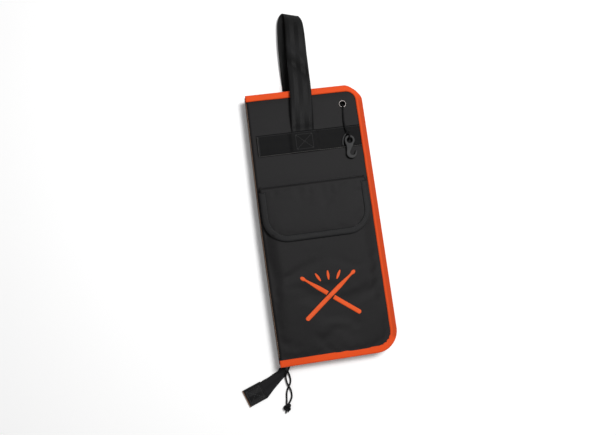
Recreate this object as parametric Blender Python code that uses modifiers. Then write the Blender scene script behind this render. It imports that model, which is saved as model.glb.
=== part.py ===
"""Drum stick bag: two padded halves that fold on a spine and zip together round three sides.

The closed bag lies on its back. +X points to the zipped long side, +Y to the carrying handle,
+Z out of the front. The origin is on the back panel's outer face, midway across the front half.
Metres throughout. Each named object is one piece of the real bag.
"""

import math

import bmesh
import bpy
from mathutils import Matrix, Vector

MM = 0.001
GAP = 0.3 * MM                      # clearance between pieces that touch

# Driving dimensions of the closed bag
WIDTH = 205 * MM
HEIGHT = 470 * MM
THICKNESS = 34 * MM
SPINE_X = -WIDTH / 2
TOP_Y = HEIGHT / 2
MID_Z = THICKNESS / 2
HINGE_Z = 23.4 * MM                 # the fold turns about the spine's soft middle

# One half's outline: right edge, top edge, bottom edge, top corner radius, bottom corner radius
FRONT_HALF = (WIDTH / 2, TOP_Y, -TOP_Y, 29 * MM, 38 * MM)
BACK_HALF = (WIDTH / 2 + 4 * MM, TOP_Y, -TOP_Y + 3 * MM, 33 * MM, 38 * MM)
ARC_STEPS = 7

# Edge binding: a folded tape that grips the panel's edge
BIND_WIDTH = 12 * MM
BIND_HEIGHT = 6 * MM
BIND_LIP = 1 * MM
BIND_WALL = 1.2 * MM
BIND_ROUND = 1.8 * MM
INNER = BIND_WIDTH + GAP            # inset of what lies beside the binding
IN_SLOT = BIND_WALL + 0.4 * MM      # inset of a layer whose edge is inside the binding

# Layers of a panel, as heights above the half's own outer face
SHELL_LEVEL = (1.3 * MM, 2.2 * MM)
FOAM_LEVEL = (2.5 * MM, 3.7 * MM)
LINING_LEVEL = (4.0 * MM, 4.7 * MM)
SAG_INSET = 17 * MM                 # the back panel sags onto the table inside this inset
SPINE_WALL = 1.2 * MM

# Zip
TAPE = 1.0 * MM
STRINGER_INSET = 4.7 * MM
BEAD_RADIUS = 1.1 * MM
BEAD_GAP = 1.8 * MM                 # between the two halves' open beads
SLIDER_X = -92 * MM
PULL_PIN = Vector((SLIDER_X, -TOP_Y - 0.6 * MM, MID_Z))

# Webbing
WEB = 1.1 * MM
BAND_Y = (123 * MM, 161 * MM)
BAND_X = (-92 * MM, 90 * MM)
FRONT_FACE = THICKNESS - SHELL_LEVEL[0]

# Front pocket and its flap
POCKET_TOP_Y = 62 * MM
POCKET_GAP = 5.2 * MM
POCKET_PLATEAU_Y = -40 * MM
POCKET_WALL = 0.8 * MM
POCKET_FACE = FRONT_FACE + GAP + POCKET_GAP + POCKET_WALL
FLAP_SEAM_Y = 71 * MM
FLAP_X = (-102.3 * MM, 86.5 * MM)
FLAP_BOTTOM_Y = -28.5 * MM
FLAP_RADIUS = 42 * MM
FLAP_WALL = 1 * MM
FLAP_Z = POCKET_FACE + 3.4 * MM     # underside of the flap's flat part
FLAP_BIND_WIDTH = 11 * MM
HOOK_STRIP = 1.2 * MM

# Hanging cord
CORD_DIAMETER = 3 * MM
EYELET = Vector((65.9 * MM, 201.2 * MM, FRONT_FACE))
RING_CENTRE = Vector((69.7 * MM, 134.8 * MM, 40.2 * MM))
HOOK_TILT = math.radians(5)

# Inside pockets
EMBLEM_CENTRE = Vector((-2 * MM, -127 * MM))
EMBLEM_LENGTH = 118 * MM
SLEEVE_TOP_Y = 130 * MM
SLEEVE_DEPTH = 15.6 * MM
SLEEVE_WALL = 0.8 * MM
INNER_POCKET_TOP_Y = 40 * MM
INNER_POCKET_Z = 22.4 * MM

PARTS = None
CUTTERS = None
MATERIALS = {}


# Scene and material helpers

def clear_scene():
    for obj in list(bpy.data.objects):
        bpy.data.objects.remove(obj)


def new_collection(name):
    collection = bpy.data.collections.new(name)
    bpy.context.scene.collection.children.link(collection)
    return collection


def material(name, colour, roughness, metallic=0.0):
    if name not in MATERIALS:
        made = bpy.data.materials.new(name)
        made.use_nodes = True
        shader = made.node_tree.nodes["Principled BSDF"]
        shader.inputs["Base Color"].default_value = (*colour, 1.0)
        shader.inputs["Roughness"].default_value = roughness
        shader.inputs["Metallic"].default_value = metallic
        MATERIALS[name] = made
    return MATERIALS[name]


def black_nylon():
    return material("black_nylon", (0.028, 0.028, 0.030), 0.75)


def black_webbing():
    return material("black_webbing", (0.022, 0.022, 0.024), 0.7)


def orange_tape():
    return material("orange_tape", (0.87, 0.115, 0.018), 0.6)


def lining_cloth():
    return material("lining_cloth", (0.035, 0.035, 0.038), 0.8)


def foam_padding():
    return material("foam_padding", (0.30, 0.30, 0.31), 0.9)


def zip_tape():
    return material("zip_tape", (0.018, 0.018, 0.020), 0.7)


def steel():
    return material("nickel_plate", (0.62, 0.60, 0.57), 0.25, 1.0)


def grey_plastic():
    return material("grey_plastic", (0.09, 0.09, 0.095), 0.45)


def black_cord():
    return material("black_cord", (0.015, 0.015, 0.016), 0.7)


# Modelling helpers

def add_part(name, data, finish, location, parent):
    """Link a finished mesh or curve as one piece of the bag."""
    obj = bpy.data.objects.new(name, data)
    obj.location = location
    obj.data.materials.append(finish)
    obj.parent = parent
    obj.location = Vector(location) - parent.location
    PARTS.objects.link(obj)
    return obj


def body_frame(name, location=(0, 0, 0)):
    """An empty on a joint's axis, which carries the pieces that move together."""
    empty = bpy.data.objects.new(name, None)
    empty.location = location
    PARTS.objects.link(empty)
    return empty


def poly_spline(curve, points, cyclic):
    spline = curve.splines.new("POLY")
    spline.points.add(len(points) - 1)
    for spot, point in zip(spline.points, points):
        spot.co = (*Vector(point).to_3d(), 1.0)
    spline.use_cyclic_u = cyclic


def plate(name, outline, z_low, z_high, finish, parent, holes=()):
    """A flat outline with a thickness, and holes through it."""
    curve = bpy.data.curves.new(name, "CURVE")
    curve.dimensions = "2D"
    curve.fill_mode = "BOTH"
    curve.extrude = (z_high - z_low) / 2
    poly_spline(curve, outline, True)
    for hole in holes:
        poly_spline(curve, hole, True)
    return add_part(name, curve, finish, (0, 0, (z_low + z_high) / 2), parent)


def tube(name, points, diameter, finish, parent):
    curve = bpy.data.curves.new(name, "CURVE")
    curve.dimensions = "3D"
    curve.bevel_depth = diameter / 2
    curve.bevel_resolution = 2
    curve.use_fill_caps = True
    poly_spline(curve, points, False)
    return add_part(name, curve, finish, (0, 0, 0), parent)


def swept(name, profile, path, finish, parent, z=0.0):
    """Carry a closed profile (inset from the path, height) along a path in plan."""
    section = bpy.data.curves.new(name + "_section", "CURVE")
    section.dimensions = "2D"
    poly_spline(section, profile, True)
    guide = bpy.data.objects.new(name + "_section", section)
    guide.hide_render = True
    guide.display_type = "WIRE"
    CUTTERS.objects.link(guide)
    curve = bpy.data.curves.new(name, "CURVE")
    curve.dimensions = "3D"
    curve.twist_mode = "Z_UP"
    curve.bevel_mode = "OBJECT"
    curve.bevel_object = guide
    curve.use_fill_caps = True
    poly_spline(curve, path, False)
    return add_part(name, curve, finish, (0, 0, z), parent)


def sheet(name, rows, thickness, finish, parent, offset=1.0):
    """A cloth surface through rows of points, thickened to the side that its faces point to."""
    mesh = bpy.data.meshes.new(name)
    bm = bmesh.new()
    grid = [[bm.verts.new(point) for point in row] for row in rows]
    for low, high in zip(grid, grid[1:]):
        for a, b, c, d in zip(low, low[1:], high[1:], high):
            bm.faces.new((a, b, c, d))
    bm.to_mesh(mesh)
    bm.free()
    obj = add_part(name, mesh, finish, (0, 0, 0), parent)
    solidify = obj.modifiers.new("Thickness", "SOLIDIFY")
    solidify.thickness = thickness
    solidify.offset = offset
    solidify.use_even_offset = True
    return obj


def turned(name, profile, location, finish, parent, steps=28):
    """Revolve an outline of (radius, height) about a vertical axis."""
    mesh = bpy.data.meshes.new(name)
    bm = bmesh.new()
    spots = [bm.verts.new((radius, 0, height)) for radius, height in profile]
    for first, second in zip(spots, spots[1:]):
        bm.edges.new((first, second))
    if profile[0][0] > 0:
        bm.edges.new((spots[-1], spots[0]))
    bm.to_mesh(mesh)
    bm.free()
    obj = add_part(name, mesh, finish, location, parent)
    screw = obj.modifiers.new("Turn", "SCREW")
    screw.steps = steps
    screw.render_steps = steps
    screw.use_merge_vertices = True
    screw.merge_threshold = 0.00001
    screw.use_smooth_shade = True
    return obj


def as_mesh(obj):
    """Replace a curve object by the closed mesh that it makes."""
    bpy.context.view_layer.update()
    graph = bpy.context.evaluated_depsgraph_get()
    mesh = bpy.data.meshes.new_from_object(obj.evaluated_get(graph))
    bm = bmesh.new()
    bm.from_mesh(mesh)
    bmesh.ops.remove_doubles(bm, verts=bm.verts, dist=0.000001)
    bm.to_mesh(mesh)
    bm.free()
    name = obj.name
    made = bpy.data.objects.new(name + "_mesh", mesh)
    made.matrix_world = obj.matrix_world.copy()
    parent = obj.parent
    home = obj.users_collection[0]
    bpy.data.objects.remove(obj)
    home.objects.link(made)
    made.name = name
    if parent is not None:
        made.parent = parent
        made.matrix_parent_inverse = parent.matrix_world.inverted()
    return made


def box_cutter(name, low, high):
    bpy.ops.mesh.primitive_cube_add(size=1)
    cutter = bpy.context.object
    cutter.name = name
    cutter.location = (Vector(low) + Vector(high)) / 2
    cutter.scale = Vector(high) - Vector(low)
    for collection in list(cutter.users_collection):
        collection.objects.unlink(cutter)
    CUTTERS.objects.link(cutter)
    cutter.hide_render = True
    cutter.display_type = "WIRE"
    return cutter


def combine(obj, other, operation):
    boolean = obj.modifiers.new(operation.title(), "BOOLEAN")
    boolean.operation = operation
    boolean.object = other
    boolean.solver = "EXACT"


def box(name, low, high, finish, parent, rounding=0.0):
    bpy.ops.mesh.primitive_cube_add(size=1)
    obj = bpy.context.object
    obj.name = name
    obj.data.transform(Matrix.Diagonal((*(Vector(high) - Vector(low)), 1)))
    for collection in list(obj.users_collection):
        collection.objects.unlink(obj)
    PARTS.objects.link(obj)
    obj.data.materials.append(finish)
    obj.parent = parent
    obj.location = (Vector(low) + Vector(high)) / 2 - parent.location
    if rounding > 0:
        bevel = obj.modifiers.new("Round", "BEVEL")
        bevel.width = rounding
        bevel.segments = 2
    return obj


# Outlines

def arc(centre, radius, start, end, steps=ARC_STEPS):
    """Points along an arc in plan, angles in degrees."""
    points = []
    for step in range(steps + 1):
        angle = math.radians(start + (end - start) * step / steps)
        points.append((centre[0] + radius * math.cos(angle), centre[1] + radius * math.sin(angle)))
    return points


def edge_path(half, inset=0.0):
    """The zipped edge of a half: along the top, down the side and back along the bottom."""
    right, top, bottom, top_radius, bottom_radius = half
    top_centre = (right - top_radius, top - top_radius)
    bottom_centre = (right - bottom_radius, bottom + bottom_radius)
    path = [(SPINE_X, top - inset)]
    path += arc(top_centre, top_radius - inset, 90, 0)
    path += arc(bottom_centre, bottom_radius - inset, 0, -90)
    path.append((SPINE_X, bottom + inset))
    return path


def panel_outline(half, inset, spine_inset):
    """A closed panel inside the edge, straight along the spine."""
    path = edge_path(half, inset)
    spine = SPINE_X + spine_inset
    return [(spine, path[0][1])] + path[1:-1] + [(spine, path[-1][1])]


def circle(centre, radius, steps=20):
    return arc(centre, radius, 0, 360 * (steps - 1) / steps, steps - 1)


# Halves of the case

def binding_profile():
    """Section of the folded edge tape: a channel that is rounded outside, open inwards."""
    height, lip, wall, bend = BIND_HEIGHT, BIND_LIP, BIND_WALL, BIND_ROUND
    outside = [(0, height - bend), (0.3 * bend, height - 0.3 * bend), (bend, height)]
    mouth = [(BIND_WIDTH, height), (BIND_WIDTH, height - lip), (wall, height - lip)]
    lower = [(wall, lip), (BIND_WIDTH, lip), (BIND_WIDTH, 0)]
    under = [(bend, 0), (0.3 * bend, 0.3 * bend), (0, bend)]
    return outside + mouth + lower + under


def stringer_profile(z_foot, bead_z, z_top):
    """Section of a zip tape with the bead of its coil, as (inset, height)."""
    half = TAPE / 2
    low, high = min(z_foot, z_top), max(z_foot, z_top)
    bead = BEAD_RADIUS
    if z_foot < z_top:
        outer = [(-half, low), (-half, bead_z - bead), (-bead, bead_z - half), (-bead, bead_z + half)]
        outer += [(-half, high), (half, high)]
        inner = [(bead, bead_z + half), (bead, bead_z - half), (half, bead_z - bead), (half, low)]
    else:
        outer = [(-half, low), (-bead, bead_z - half), (-bead, bead_z + half), (-half, bead_z + bead)]
        outer += [(-half, high), (half, high)]
        inner = [(half, bead_z + bead), (bead, bead_z + half), (bead, bead_z - half), (half, low)]
    return outer + inner


def add_stringer(name, z_foot, direction, parent):
    """One half of the zip: it stands on the binding and reaches the middle of the edge."""
    z_top = MID_Z - direction * BEAD_GAP / 2
    bead_z = z_top - direction * BEAD_RADIUS
    profile = stringer_profile(z_foot, bead_z, z_top)
    path = edge_path(FRONT_HALF, STRINGER_INSET)
    spine = SPINE_X + 2.2 * MM
    path[0] = (spine, path[0][1])
    path[-1] = (spine, path[-1][1])
    return swept(name, profile, path, zip_tape(), parent)


def add_back_case(root):
    bound = swept("back_binding", binding_profile(), edge_path(BACK_HALF), orange_tape(), root)
    bound = as_mesh(bound)
    notch = box_cutter("handle_notch", (-35 * MM, TOP_Y - 14 * MM, -1 * MM),
                       (6 * MM, TOP_Y + 1 * MM, 1.4 * MM))
    combine(bound, notch, "DIFFERENCE")

    rim = panel_outline(BACK_HALF, IN_SLOT, SPINE_WALL + GAP)
    edge = panel_outline(BACK_HALF, INNER, SPINE_WALL + GAP)
    brow = panel_outline(BACK_HALF, INNER + 1 * MM, SPINE_WALL + GAP + 1 * MM)
    flat = panel_outline(BACK_HALF, SAG_INSET, SPINE_WALL + GAP + 3 * MM)
    recess = TOP_Y - 42 * MM
    brow = [(x, min(y, recess + 5 * MM)) for x, y in brow]
    flat = [(x, min(y, recess)) for x, y in flat]
    mesh = bpy.data.meshes.new("back_shell")
    bm = bmesh.new()
    rings = []
    level = SHELL_LEVEL[0]
    for outline, height in ((rim, level), (edge, level), (brow, level), (flat, 0.0)):
        rings.append([bm.verts.new((x, y, height)) for x, y in outline])
    for outer, inner in zip(rings, rings[1:]):
        for index in range(len(outer)):
            after = (index + 1) % len(outer)
            bm.faces.new((outer[index], outer[after], inner[after], inner[index]))
    bm.faces.new(rings[-1])
    bmesh.ops.remove_doubles(bm, verts=bm.verts, dist=0.00001)
    bmesh.ops.dissolve_degenerate(bm, edges=bm.edges, dist=0.00001)
    bmesh.ops.recalc_face_normals(bm, faces=bm.faces)
    if bm.faces[0].normal.z > 0:
        bmesh.ops.reverse_faces(bm, faces=bm.faces)
    bm.to_mesh(mesh)
    bm.free()
    shell = add_part("back_shell", mesh, black_nylon(), (0, 0, 0), root)
    solidify = shell.modifiers.new("Thickness", "SOLIDIFY")
    solidify.thickness = SHELL_LEVEL[1] - SHELL_LEVEL[0]
    solidify.offset = -1.0

    plate("back_foam", panel_outline(BACK_HALF, INNER, SPINE_WALL + GAP), *FOAM_LEVEL,
          foam_padding(), root)
    plate("back_lining", panel_outline(BACK_HALF, IN_SLOT, SPINE_WALL + GAP), *LINING_LEVEL,
          lining_cloth(), root)
    add_stringer("back_stringer", BIND_HEIGHT + GAP, 1, root)


def add_spine(root):
    """The strip of shell cloth that joins the two halves and bends when the bag opens."""
    tall = THICKNESS - SHELL_LEVEL[1]
    low_end = BIND_HEIGHT + GAP
    high_end = THICKNESS - BIND_HEIGHT - GAP
    clear = TOP_Y - INNER - GAP
    end = TOP_Y - 2 * MM
    outline = [(-end + 3 * MM, low_end), (-clear + 3 * MM, low_end), (-clear + 3 * MM, SHELL_LEVEL[0]),
               (clear, SHELL_LEVEL[0]), (clear, low_end), (end, low_end), (end, high_end),
               (clear, high_end), (clear, tall), (-clear, tall), (-clear, high_end), (-end + 3 * MM, high_end)]
    strip = plate("spine_gusset", outline, -SPINE_WALL / 2, SPINE_WALL / 2, black_nylon(), root)
    strip.location = (SPINE_X + SPINE_WALL / 2, 0, 0)
    strip.rotation_euler = (math.pi / 2, 0, math.pi / 2)
    return strip


def add_front_case(half):
    top = THICKNESS
    swept("front_binding", binding_profile(), edge_path(FRONT_HALF), orange_tape(), half,
          top - BIND_HEIGHT)
    eyelet_hole = [circle(EYELET.xy, 5 * MM)]
    layers = (("front_shell", SHELL_LEVEL, IN_SLOT, black_nylon()),
              ("front_foam", FOAM_LEVEL, INNER, foam_padding()),
              ("front_lining", LINING_LEVEL, IN_SLOT, lining_cloth()))
    for name, (outer, inner), inset, finish in layers:
        outline = panel_outline(FRONT_HALF, inset, SPINE_WALL + GAP)
        plate(name, outline, top - inner, top - outer, finish, half, eyelet_hole)
    add_stringer("front_stringer", THICKNESS - BIND_HEIGHT - GAP, -1, half)


# Zip slider, its pull and the tail of spare zip

def add_slider(slider):
    """Two wings on either side of the zip, joined by a neck, and a bridge for the pull."""
    plane_y = -TOP_Y + STRINGER_INSET
    reach = BEAD_RADIUS + 0.4 * MM
    wing = 1.3 * MM
    body = box("slider_body", (SLIDER_X - 6 * MM, plane_y - reach - wing, MID_Z - 5 * MM),
               (SLIDER_X + 6 * MM, plane_y - reach, MID_Z + 5 * MM), steel(), slider, 0.5 * MM)
    inner = box_cutter("slider_inner_wing", (SLIDER_X - 6 * MM, plane_y + reach, MID_Z - 5 * MM),
                       (SLIDER_X + 6 * MM, plane_y + reach + wing, MID_Z + 5 * MM))
    neck = box_cutter("slider_neck", (SLIDER_X + 2 * MM, plane_y - reach - 0.5 * MM, MID_Z - 0.6 * MM),
                      (SLIDER_X + 5 * MM, plane_y + reach + 0.5 * MM, MID_Z + 0.6 * MM))
    for piece in (inner, neck):
        combine(body, piece, "UNION")
    arms = []
    for side in (-1, 1):
        low = (SLIDER_X + side * 3.4 * MM - 0.6 * MM, PULL_PIN.y - 1.2 * MM, MID_Z - 1.6 * MM)
        high = (SLIDER_X + side * 3.4 * MM + 0.6 * MM, plane_y - reach - 0.5 * MM, MID_Z + 1.6 * MM)
        arms.append(box_cutter("slider_lug", low, high))
    bpy.ops.mesh.primitive_cylinder_add(vertices=12, radius=0.6 * MM, depth=7.2 * MM,
                                        location=PULL_PIN, rotation=(0, math.pi / 2, 0))
    pin = bpy.context.object
    for collection in list(pin.users_collection):
        collection.objects.unlink(pin)
    CUTTERS.objects.link(pin)
    pin.name = "slider_pin"
    pin.hide_render = True
    pin.display_type = "WIRE"
    for piece in (*arms, pin):
        combine(body, piece, "UNION")
    return body


def add_pull(pull):
    """A small metal tab on the slider's pin, and a doubled cord that ends in a knot."""
    length = 13 * MM
    drop = math.radians(44)
    outline = arc((0, 0), 1.75 * MM, 17, 343, 14) + [(length, -0.5 * MM), (length, 0.5 * MM)]
    tab = plate("pull_tab", outline, -2.2 * MM, 2.2 * MM, steel(), pull, (circle((0, 0), 0.95 * MM, 12),))
    along = Vector((0, -math.cos(drop), -math.sin(drop)))
    across = Vector((1, 0, 0))
    tab.location = (0, 0, 0)
    tab.rotation_euler = Matrix((along, across.cross(along), across)).transposed().to_euler()

    for name, points in (("pull_cord_a", PULL_ROUTE_A), ("pull_cord_b", PULL_ROUTE_B)):
        tube(name, smooth_route(points, 26), CORD_DIAMETER, black_cord(), pull)
    bpy.ops.mesh.primitive_uv_sphere_add(segments=16, ring_count=10, radius=1)
    knot = bpy.context.object
    knot.name = "pull_knot"
    knot.data.transform(Matrix.Diagonal((7.5 * MM, 5 * MM, 4.4 * MM, 1)))
    knot.data.shade_smooth()
    adopt(knot, black_cord(), pull, PULL_KNOT, (0, 0, math.radians(22)))


def adopt(obj, finish, parent, location, rotation=(0, 0, 0)):
    """Move a primitive into the parts' collection and under its body."""
    for collection in list(obj.users_collection):
        collection.objects.unlink(obj)
    PARTS.objects.link(obj)
    obj.data.materials.append(finish)
    obj.parent = parent
    obj.location = Vector(location) - parent.location
    obj.rotation_euler = rotation


def smooth_route(points, count):
    """Even points on a Catmull-Rom curve through a route's own points."""
    spots = [Vector(point) * MM for point in points]
    spots = [2 * spots[0] - spots[1]] + spots + [2 * spots[-1] - spots[-2]]
    fine = []
    for before, start, end, after in zip(spots, spots[1:], spots[2:], spots[3:]):
        for step in range(24):
            t = step / 24
            fine.append(0.5 * (2 * start + (end - before) * t
                               + (2 * before - 5 * start + 4 * end - after) * t ** 2
                               + (3 * start - before - 3 * end + after) * t ** 3))
    fine.append(spots[-2])
    lengths = [0.0]
    for first, second in zip(fine, fine[1:]):
        lengths.append(lengths[-1] + (second - first).length)
    route = []
    index = 0
    for step in range(count):
        goal = lengths[-1] * step / (count - 1)
        while index < len(fine) - 2 and lengths[index + 1] < goal:
            index += 1
        span = lengths[index + 1] - lengths[index]
        route.append(fine[index].lerp(fine[index + 1], (goal - lengths[index]) / span))
    return route


# The pull cord's two strands, from the tab to the knot, crossing once (millimetres)
PULL_ROUTE_A = ((-93.7, -247.0, 7.6), (-94.6, -250.5, 6.7), (-95.3, -255.2, 5.5), (-95.0, -262, 3.8),
                (-93.8, -267.6, 4.3), (-91.6, -272.6, 5.3), (-89.8, -277.5, 4.2), (-89.2, -283.4, 2.0),
                (-89.6, -290, 1.8), (-92.4, -295.6, 2.4), (-95.2, -299.2, 3.2))
PULL_ROUTE_B = ((-90.3, -247.0, 7.6), (-89.4, -250.5, 5.8), (-88.4, -255.5, 3.0), (-88.0, -262, 1.8),
                (-89.6, -268, 1.7), (-92.8, -272.8, 1.65), (-95.8, -278, 1.7), (-97.6, -284, 1.8),
                (-98.4, -290.5, 1.8), (-99.0, -295.5, 2.4), (-99.6, -299.4, 3.2))
PULL_KNOT = Vector((-99.8, -306.4, 4.6)) * MM

# The hanging cord, from the eyelet to the hook's loop (millimetres)
HANG_ROUTE = ((66.0, 198.4, 35.9), (65.0, 193.0, 35.3), (63.9, 184.0, 34.8), (63.3, 174.0, 35.3),
              (63.2, 165.8, 36.4), (63.9, 158.0, 37.8), (65.6, 152.6, 39.4), (67.2, 150.2, 40.0))


def ribbon_rows(stations, steps):
    """Rows of left and right edge points along a strap, evenly placed on smooth edges."""
    left = smooth_route([station[0] for station in stations], steps)
    right = smooth_route([station[1] for station in stations], steps)
    rows = []
    for first, second in zip(left, right):
        rows.append([first.lerp(second, part / 2) for part in range(3)])
    return rows


# Spare zip: left and right edges of the folded tape, from under the slider to the end tab
TAIL_EDGES = (((-104.6, -238.6, 8.2), (-86.0, -239.0, 8.2)), ((-108.0, -243.6, 4.4), (-90.0, -247.5, 3.8)),
              ((-115.3, -247.0, 2.2), (-97.5, -255.2, 2.0)), ((-126.0, -252.2, 2.0), (-106.5, -263.0, 1.8)),
              ((-133.5, -256.2, 1.8), (-119.0, -272.4, 1.8)), ((-138.0, -258.6, 1.8), (-128.6, -279.6, 1.8)))
TAIL_THICKNESS = 2.2 * MM
TAB_CENTRE = (-150.6, -276.4)
TAB_SIZE = (33 * MM, 30.5 * MM)
TAB_ANGLE = math.radians(19.5)

# Handle: left and right edges of the webbing from under the front band, over the top edge,
# round the far fold and back along the table to the back panel
HANDLE_EDGES = (((-28.6, 127.0, 33.6), (8.4, 126.0, 33.6)), ((-28.2, 145.0, 33.6), (8.7, 144.0, 33.6)),
                ((-27.8, 162.0, 33.8), (9.2, 161.0, 33.8)), ((-27.0, 180.0, 37.4), (10.2, 179.0, 37.4)),
                ((-26.0, 203.0, 39.6), (11.8, 202.0, 39.6)), ((-24.4, 229.0, 38.4), (13.2, 228.0, 38.4)),
                ((-22.4, 255.0, 34.6), (14.6, 254.0, 34.6)), ((-20.4, 290.0, 30.2), (15.6, 288.0, 30.2)),
                ((-18.0, 325.0, 27.4), (16.6, 323.0, 27.4)), ((-16.4, 352.0, 24.0), (16.8, 349.0, 24.0)),
                ((-15.6, 371.0, 18.6), (15.4, 368.0, 18.4)), ((-17.4, 378.6, 12.4), (13.2, 376.4, 12.4)),
                ((-21.4, 375.6, 6.0), (10.6, 374.0, 6.2)), ((-25.4, 364.0, 2.6), (8.4, 364.6, 2.8)),
                ((-29.0, 345.0, 1.3), (7.0, 346.0, 1.3)), ((-32.4, 318.0, 0.6), (4.4, 319.0, 0.6)),
                ((-33.4, 285.0, 0.55), (3.4, 285.6, 0.55)), ((-33.4, 250.0, 0.55), (3.6, 250.0, 0.55)),
                ((-33.4, 225.0, 0.55), (3.6, 225.0, 0.55)), ((-33.4, 200.0, 0.55), (3.6, 200.0, 0.55)))


def add_tail(root):
    """The zip runs on past the bag's corner, folded along its length, and ends in a sewn tab."""
    sheet("zipper_tail", ribbon_rows(TAIL_EDGES, 16), TAIL_THICKNESS, zip_tape(), root, 0.0)
    length, width = TAB_SIZE
    tab = box("tail_tab", (-length / 2, -width / 2, 0), (length / 2, width / 2, 4.2 * MM),
              black_webbing(), root, 0.8 * MM)
    tab.location = (TAB_CENTRE[0] * MM, TAB_CENTRE[1] * MM, 2.1 * MM + 0.1 * MM)
    tab.rotation_euler = (0, 0, TAB_ANGLE)


def add_handle(root):
    rows = ribbon_rows(HANDLE_EDGES, 76)
    return sheet("handle_strap", rows, WEB, black_webbing(), root, 0.0)


# Front face

def add_band(half):
    """The webbing band across the front: it rises over the sewn end of the handle."""
    low = FRONT_FACE + GAP
    lift = WEB + 0.5 * MM
    left, right = -31.5 * MM, 12.5 * MM
    profile = ((BAND_X[0], 0), (left - 5 * MM, 0), (left, lift), (right, lift), (right + 5 * MM, 0),
               (BAND_X[1], 0))
    rows = [[(x, y, low + rise) for x, rise in profile] for y in BAND_Y]
    return sheet("front_band", rows, WEB, black_webbing(), half)


def pocket_rise(y):
    """Height of the front pocket's wall above the shell, from the bottom edge to its mouth."""
    bottom = -TOP_Y + INNER + 0.5 * MM
    if y >= POCKET_PLATEAU_Y:
        return POCKET_GAP
    return POCKET_GAP * max(0.0, (y - bottom) / (POCKET_PLATEAU_Y - bottom))


def add_pocket(half):
    """A cloth wall sewn down at both sides and the bottom, standing off the shell at its mouth."""
    base = FRONT_FACE + GAP
    bottom = -TOP_Y + INNER + 0.5 * MM
    right = FRONT_HALF[0] - INNER - 0.5 * MM
    left = SPINE_X + 1.5 * MM
    corner = FRONT_HALF[4] - INNER - 0.5 * MM
    rows = []
    for y in (bottom, bottom + 4 * MM, bottom + 10 * MM, bottom + 17 * MM, bottom + corner,
              POCKET_PLATEAU_Y, POCKET_TOP_Y):
        drop = max(0.0, corner - (y - bottom))
        edge = right - corner + math.sqrt(max(0.0, corner ** 2 - drop ** 2))
        rise = pocket_rise(y)
        row = [(left, y, base), (left + 4 * MM, y, base + 0.001 * MM), (left + 22 * MM, y, base + rise)]
        row += [(edge - 26 * MM, y, base + rise), (edge - 5 * MM, y, base + 0.001 * MM), (edge, y, base)]
        rows.append(row)
    sheet("pocket_panel", rows, POCKET_WALL, black_nylon(), half)

    strip_low = POCKET_FACE + 0.2 * MM
    box("pocket_hook_strip", (-45 * MM, -8 * MM, strip_low), (30 * MM, 17 * MM, strip_low + HOOK_STRIP),
        black_webbing(), half)


def stick_outline(length, turn):
    """A drumstick seen from the side: straight shaft, shoulder taper and bead tip."""
    shaft, neck, bead = 3.7 * MM, 1.8 * MM, 3.2 * MM
    end = length / 2
    side = [(-end, shaft - 1.6 * MM), (-end + 1.6 * MM, shaft), (end - 36 * MM, shaft), (end - 11 * MM, neck),
            (end - 7.6 * MM, bead), (end - 2.6 * MM, bead), (end, 1.4 * MM)]
    outline = side + [(x, -y) for x, y in reversed(side)]
    spin = Matrix.Rotation(turn, 2)
    return [spin @ Vector(point) for point in outline]


def add_emblem(half):
    """A plain mark of two crossed drumsticks on the sloping part of the pocket."""
    centre_y = EMBLEM_CENTRE.y
    slope = math.atan2(POCKET_GAP, POCKET_PLATEAU_Y - (-TOP_Y + INNER + 0.5 * MM))
    surface = FRONT_FACE + GAP + pocket_rise(centre_y) + POCKET_WALL
    sticks = []
    for turn in (math.radians(38), math.radians(142)):
        outline = [point + EMBLEM_CENTRE for point in stick_outline(EMBLEM_LENGTH, turn)]
        stick = plate("emblem_stick", outline, -0.2 * MM, 0.2 * MM, orange_tape(), half)
        sticks.append(as_mesh(stick))
    first, second = sticks
    first.name = "emblem"
    second.hide_render = True
    second.display_type = "WIRE"
    PARTS.objects.unlink(second)
    CUTTERS.objects.link(second)
    combine(first, second, "UNION")
    lift = Matrix.Translation((0, centre_y, surface + 0.55 * MM)) @ Matrix.Rotation(slope, 4, "X")
    lift = lift @ Matrix.Translation((0, -centre_y, 0))
    for stick in sticks:
        stick.parent = None
        stick.matrix_world = lift
    first.parent = half
    first.matrix_parent_inverse = half.matrix_world.inverted()


def add_eyelet(half):
    """A rolled eyelet through the front panel, its washer inside, and the cord's stop knot."""
    neck, bore, flange = 4.6 * MM, 3.9 * MM, 6.9 * MM
    top = THICKNESS - SHELL_LEVEL[0] + GAP
    bottom = THICKNESS - LINING_LEVEL[1] - 1.2 * MM
    profile = [(flange, top + 0.2 * MM), (flange - 0.6 * MM, top), (neck, top), (neck, bottom), (bore, bottom),
               (bore, top + 0.5 * MM), (bore + 0.6 * MM, top + 1 * MM), (flange - 1 * MM, top + 0.9 * MM)]
    turned("grommet", profile, (EYELET.x, EYELET.y, 0), steel(), half)
    ring_top = THICKNESS - LINING_LEVEL[1] - GAP
    washer = [(7 * MM, ring_top), (7 * MM, ring_top - 0.5 * MM), (neck + 0.3 * MM, ring_top - 0.7 * MM),
              (neck + 0.3 * MM, ring_top)]
    turned("grommet_washer", washer, (EYELET.x, EYELET.y, 0), steel(), half)

    knot_radius = 5.4 * MM
    centre = bottom - knot_radius - GAP
    cord = CORD_DIAMETER / 2
    rise = 0.9
    profile = [(0, 35.4 * MM), (cord * 0.7, 35.2 * MM), (cord, 34.6 * MM)]
    start = math.asin(cord / knot_radius)
    for step in range(9):
        angle = start + (math.pi - start) * step / 8
        profile.append((knot_radius * math.sin(angle), centre + rise * knot_radius * math.cos(angle)))
    profile[-1] = (0, profile[-1][1])
    turned("hang_cord_knot", profile, (EYELET.x, EYELET.y, 0), black_cord(), half, 16)


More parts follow.
